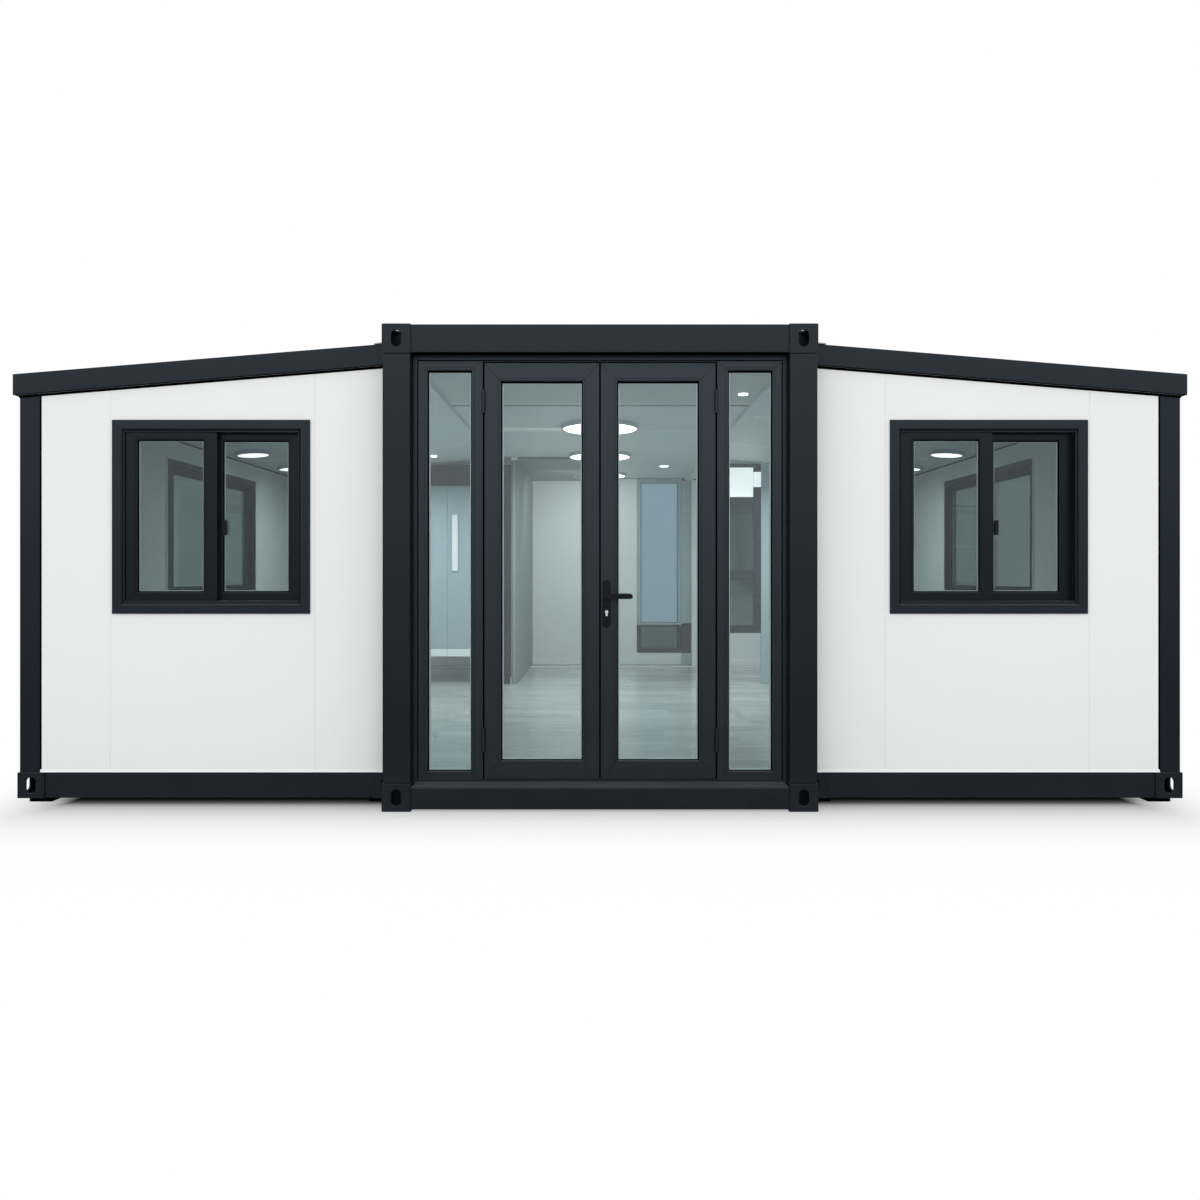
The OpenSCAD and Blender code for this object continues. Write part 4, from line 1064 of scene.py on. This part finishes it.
def makeSkirting(given=rooms):
    shape = bmesh.new()
    low = floorHigh.z + 0.5 * mm
    tall, thick = given["skirtTall"], given["skirtThick"]
    # each run is (left, right, near, far) of a wall's foot, and the way out from the wall
    runs = []
    for y, inwards in ((wingWallY, -1), (-wingWallY, 1)):
        runs += [((*span(x, foldX, sideWallX), y, y), (0, inwards)) for x in (-1, 1)]
    runs += [((x * sideWallX, x * sideWallX, -wingWallY, wingWallY), (-x, 0)) for x in (-1, 1)]
    runs.append(((-foldX + 97 * mm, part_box("rear_light_frame")[0].x, centreEndY, centreEndY), (0, -1)))
    runs.append(((partLow.x, partLow.x, partLow.y, centreEndY), (-1, 0)))
    for (left, right, near, far), (outX, outY) in runs:
        addBox(shape, (left + min(outX, 0) * thick, near + min(outY, 0) * thick, low),
               (right + max(outX, 0) * thick, far + max(outY, 0) * thick, low + tall), 1.5 * mm)
    showShape("skirting", shape, whiteTrim, slot="white_panel")


def makePassageCeiling(given=rooms):
    shape = bmesh.new()
    left, right = partHigh.x + 0.5 * mm, partHigh.x + given["soffitWide"]
    low, top = roomTop - given["soffitDrop"], roomTop - 0.5 * mm
    foot = floorHigh.z + 4 * mm
    # the passage's dropped ceiling takes the painted shade grey
    addBox(shape, (left, partLow.y, low), (right, centreEndY - 0.5 * mm, top), 1.5 * mm)
    # the end of the partition is faced in the painted shade grey too, with a bright bead along its middle
    addBox(shape, (partLow.x, partLow.y - 2 * mm, foot), (partHigh.x, partLow.y - 0.3 * mm, low - 4 * mm))
    showShape("passageCeiling", shape, paintedShadeGrey, slot="white_panel")
    trim = bmesh.new()
    addBox(trim, (left, partLow.y - 6 * mm, low - 3 * mm), (right + 4 * mm, partLow.y, low + 8 * mm), 1.5 * mm)
    middle = (partLow.x + partHigh.x) / 2
    addBox(trim, (middle - 6 * mm, partLow.y - 6 * mm, foot), (middle + 6 * mm, partLow.y - 1 * mm, low - 6 * mm), 1.5 * mm)
    showShape("passageTrim", trim, passageGrey, slot="white_panel")


def makeCeilingJoints(given=rooms):
    # flat joiners under the ceiling panels; the wings' follow their slope
    wide, thick = given["joinWide"], given["joinThick"]
    strip = bmesh.new()
    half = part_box("side_rails")[1].x - 62 * mm
    addBox(strip, (-half, -wide / 2, -thick), (half, wide / 2, 0), 0.8 * mm)
    runs = [((0, floorLow.y + given["joinEnd"], roomTop), (0, floorHigh.y - given["joinEnd"], roomTop), (0, 0, 1))]
    alongRuns("ceilingJoiners", runs, strip, given["joinEvery"], whiteTrim, slot="white_panel")
    inner, outer, reach = foldX + 4 * mm, sideWallX - 4 * mm, wingWallY - given["wingJoinEnd"]
    runs = [((0, -reach, roofUnder(inner)), (0, reach, roofUnder(inner)), (0, 0, 1))]
    for side, x in (("left", -1), ("right", 1)):
        strip = bmesh.new()
        addPrism(strip, [(-wide / 2, 0), (wide / 2, 0), (wide / 2, -thick), (-wide / 2, -thick)], (0.0, 1.0))
        layOnSlope(strip, inner, outer, x)
        alongRuns(side + "CeilingJoiners", runs, strip, given["joinEvery"], whiteTrim, slot="white_panel")


ceiling = {
    "dull": (-2.78, -1.61), "shade": (-1.61, -1.54), "bright": (-0.7, -0.57), "half": 0.985, "thick": 1.2 * mm,
    "spots": ((0.893, -1.94, 30 * mm), (0.664, 1.64, 45 * mm), (-1.51, 0.5, 34 * mm)),
    "spotDeep": 6 * mm, "spotDrop": 4 * mm,
}


def makeCeilingZones(given=ceiling):
    # a panel behind the door unit painted duller as painted shade, with a strip of painted shadow at its far edge, a
    # strip under a lamp that glows faintly as a painted pool of light, and three small downlights
    half, thick = given["half"], given["thick"]
    for name, finish, right in (("dull", paintedShadeWhite, half), ("shade", paintedShadeGrey, half), ("bright", paintedLightWash, 0)):
        near, far = given[name]
        panel = bmesh.new()
        addBox(panel, (-half, near, roomTop - thick), (right, far, roomTop - 0.2 * mm))
        showShape(name + "Ceiling", panel, finish, slot="white_panel", smooth=False)
    spots = bmesh.new()
    for x, y, radius in given["spots"]:
        z = roomTop if abs(x) < half else roofUnder(abs(x) + radius)
        bmesh.ops.create_cone(spots, cap_ends=True, segments=24, radius1=radius, radius2=radius, depth=given["spotDeep"],
                              matrix=Matrix.Translation((x, y, z - given["spotDrop"])))
    showShape("downlights", spots, lampGlow, slot="lamp_diffuser")


def makeLamps(rim=16 * mm, step=3 * mm, sunk=4 * mm):
    shape = mergedCopy("ceiling_lamps")
    faces = [face for face in shape.faces if face.normal.z < -0.9]
    bmesh.ops.inset_individual(shape, faces=faces, thickness=rim, depth=0)
    for face in shape.faces:
        face.material_index = 0
    for face in faces:
        face.material_index = 1
    lowered = bmesh.ops.inset_individual(shape, faces=faces, thickness=step, depth=-sunk)["faces"]
    for face in lowered:
        face.material_index = 0
    showShape("ceilingLamps", shape, [lampRim, lampGlow], slot="lamp_diffuser", replaces=("ceiling_lamps",))


blind = {"slat": 25 * mm, "pitch": 21 * mm, "cover": 0.42, "side": 60 * mm, "deep": (86 * mm, 114 * mm), "rise": 4 * mm,
         "thick": 0.8 * mm, "headRail": 28 * mm, "footRail": 14 * mm}


def makeBlind(given=blind):
    # a slatted blind drawn half way down in the right rear window
    place, half, sill, head = max(windowSpots, key=lambda spot: spot[0].translation.x + spot[0].translation.y)
    width = half - given["side"]
    drawn = (head - sill) * given["cover"]
    reach, rise, thick = given["slat"] / 2, given["rise"], given["thick"]
    slat = bmesh.new()
    addPrism(slat, [(-reach, -rise), (0, 0), (reach, rise), (reach, rise - thick), (0, -thick), (-reach, -rise - thick)],
             (-width, width))
    top = head - given["side"]
    near, far = given["deep"]
    at = place @ Vector((0, (near + far) / 2, 0))
    runs = [((at.x, at.y, top - drawn), (at.x, at.y, top - 0.03), (0, 0, 1))]
    alongRuns("blindSlats", runs, slat, given["pitch"], blindSlat, slot="white_panel")
    rails = bmesh.new()
    for z, tall in ((top, given["headRail"]), (top - drawn - 10 * mm, given["footRail"])):
        addBox(rails, (-width, near, z - tall / 2), (width, far, z + tall / 2), 2 * mm, place)
    showShape("blindRails", rails, whiteTrim, slot="white_panel")


linings = {"rail": (0.99, 1.075), "railDrop": 28 * mm, "corner": (0.955, 1.16), "cornerThick": 35 * mm,
           "dark": (0.29, 0.64)}


def makeLinings(given=linings):
    # what hides the rails under the ceiling and the steel post in the rear right corner of the centre room
    pale, blue, dark = (bmesh.new() for _ in range(3))
    reach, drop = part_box("side_rails")[1].y - 1 * mm, given["railDrop"]
    for x in (-1, 1):
        left, right = span(x, *given["rail"])
        addBox(pale, (left, -reach, roomTop - drop), (right, reach, roomTop - 0.3 * mm), 2 * mm)
    left, right = given["corner"]
    near, far = centreEndY - given["cornerThick"], centreEndY - 0.3 * mm
    darkLow, darkHigh = given["dark"]
    for shape, low, high in ((blue, floorHigh.z + 4 * mm, darkLow), (dark, darkLow, darkHigh),
                             (blue, darkHigh, roomTop - 30 * mm)):
        addBox(shape, (left, near, low), (right, far, high), 1 * mm)
    showShape("railLinings", pale, ceilingSkin, slot="white_panel")
    showShape("cornerLining", blue, paleBlue, slot="white_panel")
    showShape("cornerFoot", dark, greenBlack, slot="door_aluminium")


screens = {
    "at": 0.955, "jambLeft": -0.935, "jambDeep": 75 * mm, "headLeft": -2.0, "head": (2.06, 2.26), "drop": 0.49,
    "barTall": 70 * mm, "panels": 2, "pull": (-1.42, -1.365, 1.24, 1.78), "window": (1.10, 1.542, 0.647, 2.27),
    "bar": 74 * mm, "cross": (1.155, 1.25), "upper": (1.787, 1.95), "card": (2.045, 2.19), "post": 78 * mm,
}


def makeScreens(given=screens):
    # left: a pelmet and jamb beside the partition, with hung panels
    y, deep, foot = given["at"], given["jambDeep"], floorHigh.z + 4 * mm
    dark, blue, white, panes, cards = (bmesh.new() for _ in range(5))
    headLeft, (headLow, headHigh) = given["headLeft"], given["head"]
    addBox(dark, (headLeft, y, headLow), (partLow.x - 0.5 * mm, y + deep, headHigh), 2 * mm)
    addBox(dark, (given["jambLeft"], y, foot), (partLow.x - 6 * mm, y + deep, headLow - 0.5 * mm), 2 * mm)
    wide = (given["jambLeft"] - headLeft) / given["panels"]
    drop = given["drop"]
    for i in range(given["panels"]):
        left, right = headLeft + i * wide + 1 * mm, headLeft + (i + 1) * wide - 2 * mm
        addBox(blue, (left, y + 30 * mm, drop), (right, y + 40 * mm, headLow), 1 * mm)
        addBox(white, (left, y + 24 * mm, drop - given["barTall"]), (right, y + 46 * mm, drop), 3 * mm)
    left, right, low, high = given["pull"]
    addBox(white, (left, y + 12 * mm, low), (right, y + 30.5 * mm, high), 4 * mm)
    # right: a dark framed screen with white cards in its head, which glow as painted light
    left, right, low, high = given["window"]
    bar = given["bar"]
    addBars(dark, (left, right, low, high), (bar, bar, bar, bar * 0.5),
            [(0, 0, 40 * mm), (0, 0, 0), (1, -4 * mm, 0), (1, 0, 4 * mm), (1, 0, 40 * mm)],
            place=Matrix.Translation((0, y, 0)))
    for bottom, top in (given["cross"], given["upper"]):
        addBox(dark, (left + bar, y + 3 * mm, bottom), (right - bar, y + 37 * mm, top), 2 * mm)
    tuck = bar - 5 * mm
    addBox(panes, (left + tuck, y + 18 * mm, low + tuck), (right - tuck, y + 24 * mm, high - bar))
    cardLow, cardHigh = given["card"]
    addBox(cards, (left + bar, y + 8 * mm, given["upper"][1]), (right - bar, y + 14 * mm, high - bar * 0.5), 1 * mm)
    addBox(cards, (right - bar + 0.5 * mm, y - 4 * mm, cardLow), (right - 0.5 * mm, y - 0.3 * mm, cardHigh), 1 * mm)
    addBox(blue, (right + 0.5 * mm, y, foot), (right + given["post"], y + 40 * mm, high), 2 * mm)
    showShape("screenCards", cards, cardPaintedGlow, slot="white_panel")
    showShape("screenFrames", dark, greenBlack, slot="door_aluminium")
    showShape("screenPanels", blue, paleBlue, slot="white_panel")
    showShape("screenBars", white, whiteTrim, slot="white_panel")
    showShape("screenPane", panes, darkGlass, slot="clear_glass", smooth=False)


makeBoards()
makeSkirting()
makePassageCeiling()
makeCeilingJoints()
makeCeilingZones()
makeLamps()
makeBlind()
makeLinings()
makeScreens()
print("rooms made")


# flashing, roof seams, screws and joists

outside = {
    "drip": 16 * mm, "dripProud": 5 * mm, "dripScrew": 3.2 * mm, "dripScrewIn": 80 * mm, "dripScrewUp": 10 * mm,
    "screwEvery": 0.29, "roofScrew": 4.5 * mm, "roofScrewEvery": 0.475, "roofScrewRows": (0.04, 0.5, 0.96),
    "seamEvery": 0.95, "seamWide": 34 * mm, "seamTall": 16 * mm, "seamSlant": 5 * mm, "seamEnd": 0.43, "capEnd": 0.45,
    "flashing": 0.13, "flashingUp": 38 * mm,
    "joistEvery": 0.46, "joistTall": 82 * mm, "joistFlange": 40 * mm, "joistPlate": 3 * mm, "joistEnd": 0.11,
}
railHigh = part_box("side_rails")[1]
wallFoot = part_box("left_front_wall")[0].z


def screwShape(radius, sides=8):
    # a pan-head screw on its washer
    shape = bmesh.new()
    washer, head = 0.8 * mm, 2.6 * mm
    turns = [turn * 2 * math.pi / sides for turn in range(sides)]
    for low, high, wide, narrow in ((0.0, washer, radius * 1.5, radius * 1.4), (washer, head, radius, radius * 0.62)):
        rings = [[shape.verts.new((r * math.cos(turn), r * math.sin(turn), z)) for turn in turns]
                 for r, z in ((wide, low), (wide, (low + high) / 2), (narrow, high))]
        for under, over in zip(rings, rings[1:]):
            for i in range(sides):
                j = (i + 1) % sides
                shape.faces.new((under[i], under[j], over[j], over[i]))
        shape.faces.new(list(reversed(rings[0])))
        shape.faces.new(rings[-1])
    return shape


def makeDrips(given=outside):
    # the folded plate along the foot of every wing wall, with its screws
    shape = bmesh.new()
    proud, tall = given["dripProud"], given["drip"]
    outline = [(0.5 * mm, wallFoot + 1 * mm), (-proud, wallFoot + 1 * mm), (-proud, wallFoot + 3 * mm),
               (-1.2 * mm, wallFoot + 4.5 * mm), (-1.2 * mm, wallFoot + tall), (0.5 * mm, wallFoot + tall)]
    screws = []
    for node, outward in (("left_front_wall", (0, -1, 0)), ("right_front_wall", (0, -1, 0)), ("left_rear_wall", (0, 1, 0)),
                          ("right_rear_wall", (0, 1, 0)), ("left_side_wall", (-1, 0, 0)), ("right_side_wall", (1, 0, 0))):
        low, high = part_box(node)
        centre = (low + high) / 2
        half = max(high.x - low.x, high.y - low.y) / 2 - 2 * mm
        at = Vector([high[i] if outward[i] > 0 else low[i] if outward[i] < 0 else centre[i] for i in range(2)] + [0])
        place = wallSide(outward, at)
        addPrism(shape, outline, (-half, half), place)
        reach, z = half - given["dripScrewIn"], wallFoot + given["dripScrewUp"]
        screws.append((place @ Vector((-reach, -1.2 * mm, z)), place @ Vector((reach, -1.2 * mm, z)), Vector(outward)))
    showShape("wallDrips", shape, whiteTrim, slot="white_panel", smooth=False)
    alongRuns("dripScrews", screws, screwShape(given["dripScrew"]), given["screwEvery"], whiteTrim, slot="bare_steel",
              smooth=False)


def makeRoofSeams(given=outside):
    # caps over the joints of the wings' roofs, with the screws between them
    wide, tall, slant = given["seamWide"] / 2, given["seamTall"], given["seamSlant"]
    low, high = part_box("wing_roofs")
    inner, outer = railHigh.x + 60 * mm, high.x - 4 * mm
    top = roofUnder(inner) + wingSlope["thick"] - 1 * mm
    runs = [((0, low.y + given["seamEnd"], top), (0, high.y - given["seamEnd"], top), (0, 0, 1))]
    screws = []
    for side, x in (("left", -1), ("right", 1)):
        seam = bmesh.new()
        addPrism(seam, [(-wide, 0), (-wide + slant, tall), (wide - slant, tall), (wide, 0)], (0.0, 1.0))
        layOnSlope(seam, inner, outer, x)
        alongRuns(side + "RoofSeams", runs, seam, given["seamEvery"], roofSheet, slot="white_panel", smooth=False)
        for share in given["roofScrewRows"]:
            along = inner + (outer - inner) * share
            z = roofUnder(along) + wingSlope["thick"] - 0.4 * mm
            screws += [((x * along, end * (high.y - 0.05), z), (x * along, end * 0.5, z), (0, 0, 1)) for end in (-1, 1)]
    alongRuns("roofScrews", screws, screwShape(given["roofScrew"]), given["roofScrewEvery"], steelBare, slot="bare_steel",
              smooth=False)


def makeFlashing(given=outside):
    # flashing over the fold, turned up against the side rail
    shape = bmesh.new()
    reach, up = given["flashing"], given["flashingUp"]
    top, drop = (roofUnder(railHigh.x + out) + wingSlope["thick"] for out in (0, reach))
    # the prism runs along y; its outline's first number is the distance out from the centre line
    rail = -railHigh.x
    outline = [(rail - 0.5 * mm, top + up), (rail - 3 * mm, top + up), (rail - 4 * mm, top + 6 * mm),
               (rail - reach, drop + 5 * mm), (rail - reach, drop + 1 * mm), (rail - 0.5 * mm, top + 1 * mm)]
    for x in (-1, 1):
        addPrism(shape, outline, (-railHigh.y + 4 * mm, railHigh.y - 4 * mm), Matrix.Rotation(x * math.pi / 2, 4, "Z"))
    showShape("foldFlashing", shape, roofSheet, slot="white_panel", smooth=False)


def makeCentreSeams(given=outside):
    # caps over the joints of the centre roof
    cap = bmesh.new()
    half, wide = railHigh.x - 66 * mm, given["seamWide"] / 2
    addBox(cap, (-half, -wide, -0.5 * mm), (half, wide, given["seamTall"]), 3 * mm)
    top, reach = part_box("centre_roof")[1].z, railHigh.y - given["capEnd"]
    runs = [((0, -reach, top), (0, reach, top), (0, 0, 1))]
    alongRuns("centreRoofSeams", runs, cap, given["seamEvery"], roofSheet, slot="white_panel")


def makeJoists(given=outside):
    # folded joists under every deck, hung between the long beams
    tall, flange, plate = given["joistTall"], given["joistFlange"], given["joistPlate"]
    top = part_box("wing_floors")[0].z - 0.5 * mm
    rail = railHigh.x - 60 * mm
    inner, outer = foldX + given["joistEnd"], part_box("right_side_wall")[1].x - given["joistEnd"]
    profile = [(0, 0), (flange, 0), (flange, -plate), (plate, -plate), (plate, -tall + plate), (flange, -tall + plate),
               (flange, -tall), (0, -tall)]
    centreReach, wingReach = floorHigh.y - 0.3, wingWallY - 0.35
    for name, left, right, reach in (("centre", -rail, rail, centreReach), ("left", -outer, -inner, wingReach),
                                     ("right", inner, outer, wingReach)):
        joist = bmesh.new()
        addPrism(joist, profile, (left, right))
        alongRuns(name + "Joists", [((0, -reach, top), (0, reach, top), (0, 0, 1))], joist, given["joistEvery"], joistSteel,
                  slot="frame_paint", smooth=False)


# sizes of the black strips that paint the shade beside the posts and under the eaves
joints = {"joint": 9 * mm, "jointProud": 0.6 * mm, "eaveTall": 12 * mm, "hair": 0.3 * mm}


def makePostShadeStrips(given=joints):
    # a black strip where each corner post meets the walls beside it, standing in for the shaded gap there: painted
    # shade
    postLow, postHigh = max(solidsOf("wing_posts"), key=lambda post: post[1].x + post[1].y)
    wide, proud = given["joint"], given["jointProud"]
    low, top = wallFoot + 1 * mm, roofUnder(postHigh.x) - 4 * mm
    shape = bmesh.new()
    for x in (-1, 1):
        for y in (-1, 1):
            for acrossX, acrossY in (((postLow.x, postLow.x - wide), (postHigh.y, postHigh.y + proud)),
                                     ((postHigh.x, postHigh.x + proud), (postLow.y, postLow.y - wide))):
                (left, right), (near, far) = span(x, *acrossX), span(y, *acrossY)
                addBox(shape, (left, near, low), (right, far, top))
    showShape("postJoints", shape, sealRubber, slot="seal_rubber", smooth=False)


def makeEaveShadeStrips(given=joints):
    # black strips in the slit between the fascia and the walls under it, where they stand in for its shade: painted
    # shade
    wall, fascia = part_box("wing_posts")[1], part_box("wing_roofs")[1]
    hair, tall = given["hair"], given["eaveTall"]
    shape = bmesh.new()
    for x in (-1, 1):
        left, right = span(x, railHigh.x + 2 * mm, wall.x)
        for y in (-1, 1):
            near, far = span(y, wall.y + hair, fascia.y - hair)
            addBox(shape, (left, near, -tall), (right, far, -hair))
        left, right = span(x, wall.x + hair, fascia.x - hair)
        addBox(shape, (left, -wall.y, -tall), (right, wall.y, -hair))
    for vert in shape.verts:
        vert.co.z += roofUnder(abs(vert.co.x))
    showShape("eaveSeals", shape, sealRubber, slot="seal_rubber", smooth=False)


makeDrips()
makePostShadeStrips()
makeEaveShadeStrips()
makeRoofSeams()
makeFlashing()
makeCentreSeams()
makeJoists()
print("outside trim made")


# camera, ground and light

camera = {"back": 4.4, "height": 1.2025, "lens": 26.01, "sensor": 36, "shiftY": -0.0208}


def makeCamera(given=camera):
    data = bpy.data.cameras.new("camera")
    data.lens = given["lens"]
    data.sensor_width = given["sensor"]
    data.shift_y = given["shiftY"]
    seen = bpy.data.objects.new("camera", data)
    bpy.context.scene.collection.objects.link(seen)
    seen.location = (0, cadLow.y - given["back"], given["height"])
    seen.rotation_euler = (math.radians(90), 0, 0)
    bpy.context.scene.camera = seen


# "seen" is the floor's colour near the house, darkened as painted shade on top of its real shadow; the painted contact
# shadow darkens it more within "near" of the walls; "glossy" is the floor as reflections see it, nearly black, painted
# shade on the lower paint
ground = {"reach": 60.0, "seen": 0.45, "diffuse": 0.62, "glossy": 0.05, "fade": 0.3, "power": 1.2,
          "inside": 0.29, "sidePull": 1.5, "paintedContactShadow": 0.75, "near": 0.06}


def makeGroundWhite(given=ground):
    material, tree, shader = newMaterial("groundWhite", [("Roughness", 1.0), ("Specular IOR Level", 0.0),
                                                         ("Emission Color", (1, 1, 1, 1))])
    sums = sumsIn(tree)
    rays = addNode(tree, "ShaderNodeLightPath")
    direct = sums("MAXIMUM", rays.outputs["Is Camera Ray"], rays.outputs["Is Transmission Ray"])
    place = addNode(tree, "ShaderNodeTexCoord").outputs["Object"]
    spot = addNode(tree, "ShaderNodeSeparateXYZ", [("Vector", place)])
    # the way out from the rectangle that the unfolded wings cover
    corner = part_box("wing_castings")[1]
    sizes = (corner.x - given["inside"], corner.y)
    past = [sums("MAXIMUM", sums("SUBTRACT", sums("ABSOLUTE", spot.outputs[i]), sizes[i]), 0.0) for i in range(2)]
    past[0] = sums("MULTIPLY", past[0], given["sidePull"])
    way = sums("SQRT", sums("ADD", sums("POWER", past[0], 2.0), sums("POWER", past[1], 2.0)))
    distance = sums("POWER", sums("DIVIDE", way, given["fade"]), given["power"])
    kept = sums("EXPONENT", sums("MULTIPLY", distance, -1.0))
    shown = sums("MULTIPLY", sums("SUBTRACT", 1.0, kept), direct)
    # reflections see the floor nearly black, which darkens the lower paint: painted shade
    tone = addNode(tree, "ShaderNodeMix", [("Factor", rays.outputs["Is Glossy Ray"]), ("A", given["diffuse"]),
                                           ("B", given["glossy"])], data_type="FLOAT")
    # painted contact shadow: darker still right at the walls
    close = sums("POWER", sums("DIVIDE", way, given["near"]), 2.0)
    close = sums("EXPONENT", sums("MULTIPLY", close, -1.0))
    lit = sums("SUBTRACT", given["seen"], sums("MULTIPLY", close, given["seen"] * given["paintedContactShadow"]))
    colour = addNode(tree, "ShaderNodeMix", [("Factor", direct), ("A", tone.outputs["Result"]),
                                             ("B", sums("MULTIPLY", kept, lit))], data_type="FLOAT")
    tree.links.new(colour.outputs["Result"], shader.inputs["Base Color"])
    tree.links.new(shown, shader.inputs["Emission Strength"])
    return material


def makeGround(given=ground):
    # a pale floor that turns to plain white away from the house and keeps its shadow close to it; near the house its
    # colour is darkened as painted shade, most within a few centimetres of the walls as a painted contact shadow
    reach = given["reach"]
    mesh = bpy.data.meshes.new("ground")
    mesh.from_pydata([(-reach, -reach, 0), (reach, -reach, 0), (reach, reach, 0), (-reach, reach, 0)], [], [(0, 1, 2, 3)])
    mesh.materials.append(makeGroundWhite())
    floor = bpy.data.objects.new("ground", mesh)
    bpy.context.scene.collection.objects.link(floor)


sky = {"light": 0.95, "horizon": 0.25, "middle": 0.8, "high": 1.0, "middleAt": 0.22, "highAt": 0.45,
       "tint": (0.8, 0.97, 1.25)}


def makeSky(given=sky):
    # white where it is seen; gloss sees it fall off towards the horizon, as round a studio's overhead light
    world = bpy.data.worlds.new("studio")
    bpy.context.scene.world = world
    world.use_nodes = True
    tree = world.node_tree
    background = tree.nodes["Background"]
    rays = addNode(tree, "ShaderNodeLightPath")
    way = addNode(tree, "ShaderNodeSeparateXYZ", [("Vector", addNode(tree, "ShaderNodeTexCoord").outputs["Generated"])])
    ramp = addNode(tree, "ShaderNodeValToRGB", [("Fac", way.outputs["Z"])])
    stops = ramp.color_ramp.elements
    between = stops.new(given["middleAt"])
    for stop, at, level in ((stops[0], 0.0, "horizon"), (between, given["middleAt"], "middle"),
                            (stops[-1], given["highAt"], "high")):
        stop.position = at
        stop.color = tuple(min(given[level] * c, 1.0) for c in given["tint"]) + (1,)
    gloss = addNode(tree, "ShaderNodeMix", data_type="RGBA")
    tree.links.new(rays.outputs["Is Glossy Ray"], gloss.inputs["Factor"])
    gloss.inputs["A"].default_value = (given["light"],) * 3 + (1,)
    tree.links.new(ramp.outputs["Color"], gloss.inputs["B"])
    direct = sumsIn(tree)("MAXIMUM", rays.outputs["Is Camera Ray"], rays.outputs["Is Transmission Ray"])
    shade = addNode(tree, "ShaderNodeMix", data_type="RGBA")
    tree.links.new(direct, shade.inputs["Factor"])
    tree.links.new(gloss.outputs["Result"], shade.inputs["A"])
    shade.inputs["B"].default_value = (1, 1, 1, 1)
    tree.links.new(shade.outputs["Result"], background.inputs["Color"])
    background.inputs["Strength"].default_value = 1.0


lights = {
    "frontSoft": {"at": (0, -12.0, 2.2), "aim": (0, -2.8, 0.9), "size": 9.0, "power": 360},
    "roomLeft": {"at": (-2.0, 0.0, 2.05), "aim": (-2.0, 0.0, 0), "size": 0.8, "power": 23},
    "roomMiddle": {"at": (0.0, 0.0, 2.2), "aim": (0.0, 0.0, 0), "size": 1.2, "power": 30},
    "roomRight": {"at": (2.0, 0.0, 2.05), "aim": (2.0, 0.0, 0), "size": 0.8, "power": 21},
    "passage": {"at": (-0.15, 1.6, 2.1), "aim": (-0.25, 2.8, 1.0), "size": 0.5, "power": 7},
}


def makeLights():
    for name, light in lights.items():
        data = bpy.data.lights.new(name, "AREA")
        data.shape = "SQUARE"
        data.size = light["size"]
        data.energy = light["power"]
        lit = bpy.data.objects.new(name, data)
        bpy.context.scene.collection.objects.link(lit)
        lit.location = light["at"]
        lit.rotation_euler = (Vector(light["aim"]) - Vector(light["at"])).to_track_quat("-Z", "Y").to_euler()
        lit.visible_camera = False
        lit.visible_glossy = False
        lit.visible_transmission = False


makeCamera()
makeGround()
makeSky()
makeLights()
bpy.context.scene.view_settings.view_transform = "Standard"
print("camera, ground and light made")
